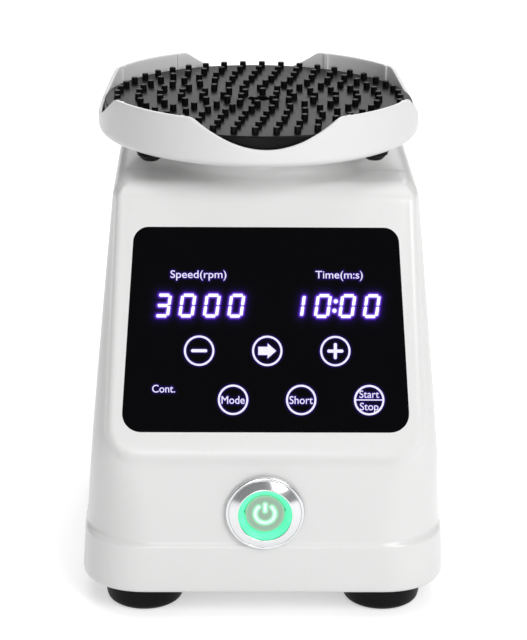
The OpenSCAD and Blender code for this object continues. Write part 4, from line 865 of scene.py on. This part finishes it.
def makeLegends():
    words, digits = bmesh.new(), bmesh.new()
    # words, middle, width and height of a capital
    for label in (("Speed(rpm)", -20.9, 55.6, 17.2, 2.35), ("Time(m:s)", 22.5, 55.6, 14.6, 2.35),
                  ("Cont.", -31.5, 20.3, 7.0, 2.35), ("Mode", -10.1, 16.9, 7.1, 2.4),
                  ("Short", 10.9, 16.9, 7.2, 2.4), ("Start", 31.9, 18.75, 6.1, 2.3),
                  ("Stop", 31.9, 14.95, 5.7, 2.3)):
        addWord(words, *label)
    for x, y in ((-20.6, 32), (0.4, 32), (21.4, 32), (-10.1, 16.9), (10.9, 16.9), (31.9, 16.9)):
        addRing(words, x, y, legendForm["ring"], legendForm["stroke"])
    addBar(words, -20.6, 32, 5.0, 0.95)
    addBar(words, 21.4, 32, 5.0, 0.98)
    addBar(words, 21.4, 32, 5.0, 0.98, 90)
    addBar(words, 31.9, 16.95, 8.2, 0.34, 0, 0.1)
    addBar(words, -0.95, 32, 2.9, 2.55, 0, 0.06)
    tip = [words.verts.new((x * mm, (32 + y) * mm, 0)) for x, y in ((0.5, -2.35), (3.15, 0), (0.5, 2.35))]
    words.faces.new(tip)
    level, speedX, timeX = digitForm["level"], digitForm["speedX"], digitForm["timeX"]
    for n in range(4):
        along = (n - 1.5) * digitForm["pitch"]
        addDigit(digits, "3000"[n], speedX + along, level)
    for n in range(4):
        along = (n - 1.5) * digitForm["pitch"]
        addDigit(digits, "1000"[n], timeX + along - (0.5 if n == 0 else 0), level)
    for y in (-1.45, 1.45):
        dot = Matrix.Translation(Vector((timeX + y * digitForm["slant"], level + y, 0)) * mm)
        bmesh.ops.create_circle(digits, cap_ends=True, segments=16, radius=0.62 * mm, matrix=dot)
    return words, digits


def litSpots(bm):
    # points along every lit outline, for the light that spills next to it
    return [e.verts[0].co.lerp(e.verts[1].co, t) for e in bm.edges
            for t in np.linspace(0, 1, 2 + int(e.calc_length() / 0.0003))]


def spillTree(spots):
    tree = kdtree.KDTree(len(spots))
    for n, spot in enumerate(spots):
        tree.insert((spot.x, spot.y, 0), n)
    tree.balance()
    return tree


def makeGlass():
    f = glassForm
    bm = makeSlab()
    words, digits = makeLegends()
    wordTree, digitTree = spillTree(litSpots(words)), spillTree(litSpots(digits))
    layer = bm.verts.layers.float.new("spill")
    inset = 2.4
    made = bmesh.ops.create_grid(bm, x_segments=200, y_segments=144, size=1.0)
    for v in made["verts"]:
        up = (v.co.y + 1) / 2
        y = f["rise"] + inset + (f["length"] - 2 * inset) * up
        half = f["low"] + (f["high"] - f["low"]) * (y - f["rise"]) / f["length"] - inset
        v.co = (v.co.x * half * mm, y * mm, (f["top"] + 0.004) * mm)
        nearWord = wordTree.find((v.co.x, v.co.y, 0))[2] / mm
        nearDigit = digitTree.find((v.co.x, v.co.y, 0))[2] / mm
        strong = 0.85 * math.exp(-(nearDigit / 0.5) ** 1.3) + 0.26 * math.exp(-nearDigit / 1.5)
        edge = max(0.0, min(1.0, (1 - abs(2 * up - 1)) * 8))
        v[layer] = min(1.0, strong + 0.62 * math.exp(-(nearWord / 0.30) ** 1.2)) * edge
    place(bm, panelPlace())
    addPiece(bm, "touchGlass", "base", finishes["glass"], ["control_glass"], crease=12)
    for shape, name, finish in ((words, "legendMarks", "legend"), (digits, "digitSegments", "digit")):
        bmesh.ops.translate(shape, vec=(0, 0, (f["top"] + legendForm["lift"]) * mm), verts=shape.verts)
        bmesh.ops.recalc_face_normals(shape, faces=shape.faces)
        bmesh.ops.reverse_faces(shape, faces=[face for face in shape.faces if face.normal.z < 0])
        place(shape, panelPlace())
        addPiece(shape, name, "base", finishes[finish])


makeGlass()
print("control glass and legends made")


# ---------- power button ----------

buttonForm = {
    "flange": 12.4, "seat": 0.4, "rim": 1.3, "groove": 11.3, "peak": 3.0, "bore": 8.35, "ringIn": 6.5,
    "ringPeak": 2.75, "ringLow": 1.25, "cap": 6.2, "capTop": 1.15, "sign": 3.05, "stroke": 0.78,
}


def makeButton():
    f = buttonForm
    bm = bmesh.new()
    lathe(bm, softProfile([
        (f["bore"], -2.0, 0), (f["bore"], f["peak"] - 0.1, 0.25), (f["bore"] + 0.35, f["peak"], 0.3),
        (f["groove"] - 0.1, f["rim"] + 0.35, 0.2), (f["groove"], f["rim"] - 0.05, 0.08),
        (f["groove"] + 0.2, f["rim"] + 0.15, 0.1), (f["flange"] - 0.25, f["rim"], 0.45),
        (f["flange"], f["seat"], 0.1), (f["flange"] - 1, f["seat"], 0)], 4), 96)
    place(bm, buttonPlace())
    addPiece(bm, "buttonBezel", "base", finishes["bezel"], ["power_button_bezel"], crease=40)

    bm = bmesh.new()
    lathe(bm, softProfile([
        (f["ringIn"], -3.0, 0), (f["ringIn"], f["ringLow"], 0.15), (f["bore"] - 0.35, f["ringPeak"], 0.35),
        (f["bore"] - 0.08, f["ringPeak"] - 0.3, 0.1), (f["bore"] - 0.08, -3.0, 0),
        (f["ringIn"], -3.0, 0)], 4), 96)
    place(bm, buttonPlace())
    addPiece(bm, "lightRing", "base", finishes["ring"], ["power_button_ring"], crease=40)

    # sign: an open arc and a bar
    sign = bmesh.new()
    steps, opening = 40, math.radians(42)
    inner, outer = f["sign"] - f["stroke"] / 2, f["sign"] + f["stroke"] / 2
    row = [sign.verts.new((r * mm * math.sin(opening), r * mm * math.cos(opening), 0))
           for r in (inner, (inner + outer) / 2, outer)]
    lines = [sign.edges.new(pair) for pair in zip(row, row[1:])]
    bmesh.ops.spin(sign, geom=row + lines, cent=(0, 0, 0), axis=(0, 0, -1), dvec=(0, 0, 0),
                   angle=fullTurn - 2 * opening, steps=steps, use_merge=False, use_duplicate=False)
    for side in (-1, 1):
        spot = Vector((side * f["sign"] * math.sin(opening), f["sign"] * math.cos(opening), 0)) * mm
        bmesh.ops.create_circle(sign, cap_ends=True, segments=20, radius=f["stroke"] / 2 * mm,
                                matrix=Matrix.Translation(spot))
    addBar(sign, 0, 2.0, 3.0, f["stroke"] * 1.05, 90)
    signTree = spillTree(litSpots(sign))

    bm = bmesh.new()
    layer = bm.verts.layers.float.new("spill")
    flat = [(f["cap"] * k / 30, f["capTop"]) for k in range(29)]
    side = [(f["cap"] - 0.4, f["capTop"], 0), (f["cap"], f["capTop"], 0.3), (f["cap"], -6.0, 0)]
    lathe(bm, flat + softProfile(side, 4), 96)
    # painted glow: green light near the sign and along the rim next to the ring, carried as emission on the
    # cap
    for v in bm.verts:
        near = signTree.find((v.co.x, v.co.y, 0))[2] / mm
        side = f["cap"] - math.hypot(v.co.x, v.co.y) / mm
        v[layer] = min(1.0, 0.85 * math.exp(-(near / 0.45) ** 1.2) + 0.30 * math.exp(-max(side, 0) / 0.9))
    place(bm, buttonPlace())
    addPiece(bm, "buttonCap", "power_button", finishes["cap"], ["power_button_cap"],
             crease=40)

    bmesh.ops.recalc_face_normals(sign, faces=sign.faces)
    bmesh.ops.reverse_faces(sign, faces=[face for face in sign.faces if face.normal.z < 0])
    place(sign, buttonPlace(f["capTop"] + 0.015))
    addPiece(sign, "powerSign", "power_button", finishes["powerSign"])


makeButton()
print("power button made")


# ---------- feet ----------

footForm = {
    "x": 38.0, "y": 49.5, "top": 13.0, "low": 12.0, "height": 9.0, "recess": 3.7, "seat": 4.5, "bore": 1.8,
}


def makeFeet():
    f = footForm
    names = {(-1, -1): "foot_front_left", (1, -1): "foot_front_right",
             (-1, 1): "foot_rear_left", (1, 1): "foot_rear_right"}
    profile = softProfile([
        (f["bore"], f["height"], 0), (f["top"], f["height"], 0.4), (f["top"] - 0.15, f["height"] - 2.2, 0.2),
        (f["low"] + 0.35, 3.0, 0.5), (f["low"], 1.2, 1.0), (f["low"] - 1.6, 0.0, 0.9),
        (f["recess"] + 1.2, 0.0, 0),
        (f["recess"], 0.0, 0.5), (f["recess"], f["seat"], 0), (f["bore"], f["seat"], 0),
        (f["bore"], f["height"], 0)], 5)
    for (sx, sy), node in names.items():
        bm = bmesh.new()
        lathe(bm, profile, 80)
        place(bm, Matrix.Translation(Vector((sx * f["x"], sy * f["y"], 0)) * mm))
        addPiece(bm, node.replace("foot_", "rubberFoot_"), "base", finishes["foot"], [node],
                 crease=35)


makeFeet()
print("feet made")


# ---------- finishes for the CAD pieces that stay ----------

slotFinish = {
    "shell_white": "shell", "tray_white": "tray", "base_plastic": "base", "ballast_iron": "ballast",
    "foot_rubber": "foot", "pad_rubber": "pad", "seal_rubber": "seal", "control_glass": "glass",
    "circuit_board": "board", "display": "display", "black_plastic": "blackPlastic", "light_ring": "ring",
    "button_metal": "bezel", "steel": "steel", "spring_steel": "spring", "aluminium": "aluminium",
    "copper": "copper", "brass": "brass", "cable_plastic": "cable", "fuse_glass": "fuse",
}
for entry in frame["record"]["subparts"]:
    target = cadNodes[entry["node"]]
    target.data.materials.clear()
    target.data.materials.append(finishes[slotFinish[entry["material_slot"]]])
print("finishes set on the frame")


# ---------- stage, light and camera ----------

stageForm = {"floorColour": 0.86, "floorLift": 0.5, "world": 0.32}
lampForm = {                                      # spot in metres, size in metres, power in watts
    "keyLamp": ((0.55, -0.85, 0.75), 0.6, 6.8),
    "frontLamp": ((-0.1, -1.3, 0.2), 0.36, 1.8),
    "topLamp": ((0.0, 0.1, 1.2), 1.0, 4.2),
    "backLamp": ((0.0, 1.1, 0.8), 0.8, 3.7),
}


def makeStage():
    bm = bmesh.new()
    bmesh.ops.create_grid(bm, x_segments=2, y_segments=2, size=3.0)
    mesh = bpy.data.meshes.new("floorSheet")
    bm.to_mesh(mesh)
    bm.free()
    floor = bpy.data.objects.new("floorSheet", mesh)
    bpy.context.scene.collection.objects.link(floor)
    finish = bpy.data.materials.new("paleFloor")
    finish.use_nodes = True
    tree = finish.node_tree
    shader = tree.nodes["Principled BSDF"]
    level = stageForm["floorColour"]
    shader.inputs["Base Color"].default_value = (level, level, level, 1)
    shader.inputs["Roughness"].default_value = 0.9
    shader.inputs["Specular IOR Level"].default_value = 0.1
    path = tree.nodes.new("ShaderNodeLightPath")
    seen = addMath(tree, "MAXIMUM", path.outputs["Is Camera Ray"], path.outputs["Is Glossy Ray"])
    seen = addMath(tree, "MAXIMUM", seen, path.outputs["Is Transmission Ray"])
    glow = tree.nodes.new("ShaderNodeEmission")
    tree.links.new(addMath(tree, "MULTIPLY", seen, stageForm["floorLift"]), glow.inputs["Strength"])
    both = tree.nodes.new("ShaderNodeAddShader")
    tree.links.new(shader.outputs[0], both.inputs[0])
    tree.links.new(glow.outputs[0], both.inputs[1])
    tree.links.new(both.outputs[0], tree.nodes["Material Output"].inputs["Surface"])
    mesh.materials.append(finish)

    world = bpy.data.worlds.new("paleRoom")
    world.use_nodes = True
    bpy.context.scene.world = world
    tree = world.node_tree
    dim = tree.nodes["Background"]
    dim.inputs["Color"].default_value = (1, 1, 1, 1)
    dim.inputs["Strength"].default_value = stageForm["world"]
    white = tree.nodes.new("ShaderNodeBackground")
    white.inputs["Color"].default_value = (1, 1, 1, 1)
    path = tree.nodes.new("ShaderNodeLightPath")
    seen = addMath(tree, "MAXIMUM", path.outputs["Is Camera Ray"], path.outputs["Is Transmission Ray"])
    pick = tree.nodes.new("ShaderNodeMixShader")
    tree.links.new(seen, pick.inputs[0])
    tree.links.new(dim.outputs[0], pick.inputs[1])
    tree.links.new(white.outputs[0], pick.inputs[2])
    tree.links.new(pick.outputs[0], tree.nodes["World Output"].inputs["Surface"])


def addLamp(name, spot, aim, power, size):
    lamp = bpy.data.lights.new(name, "AREA")
    lamp.energy = power
    lamp.shape = "RECTANGLE"
    lamp.size = lamp.size_y = size
    holder = bpy.data.objects.new(name, lamp)
    bpy.context.scene.collection.objects.link(holder)
    holder.location = spot
    holder.rotation_euler = (Vector(aim) - Vector(spot)).to_track_quat("-Z", "Y").to_euler()


cameraForm = {                                    # spot in millimetres, focal length in frame pixels
    "spot": (-15.1, -691.4, 317.6), "turn": 0.0224, "pitch": 0.3348, "roll": math.radians(-0.60),
    "focal": 2193.6, "frameHeight": 640,
}


def makeCamera():
    f = cameraForm
    ca, sa = math.cos(f["turn"]), math.sin(f["turn"])
    spot = Vector(f["spot"]) * mm
    right = Vector((ca, -sa, 0))
    ahead = Vector((sa * math.cos(f["pitch"]), ca * math.cos(f["pitch"]), -math.sin(f["pitch"])))
    up = right.cross(ahead)
    turned = Matrix.Rotation(f["roll"], 4, ahead)
    right, up = turned @ right, turned @ up
    lens = bpy.data.cameras.new("studioCamera")
    lens.sensor_fit = "VERTICAL"
    lens.sensor_height = 36.0
    lens.lens = f["focal"] * lens.sensor_height / f["frameHeight"]
    lens.clip_start = 0.01
    camera = bpy.data.objects.new("studioCamera", lens)
    bpy.context.scene.collection.objects.link(camera)
    camera.matrix_world = Matrix(((right.x, up.x, -ahead.x, spot.x), (right.y, up.y, -ahead.y, spot.y),
                                  (right.z, up.z, -ahead.z, spot.z), (0, 0, 0, 1)))
    bpy.context.scene.camera = camera


makeStage()
for name, (spot, size, power) in lampForm.items():
    addLamp(name, spot, (0, 0, 0.08), power, size)
makeCamera()
bpy.context.scene.view_settings.view_transform = "Standard"
print("stage, lamps and camera set")
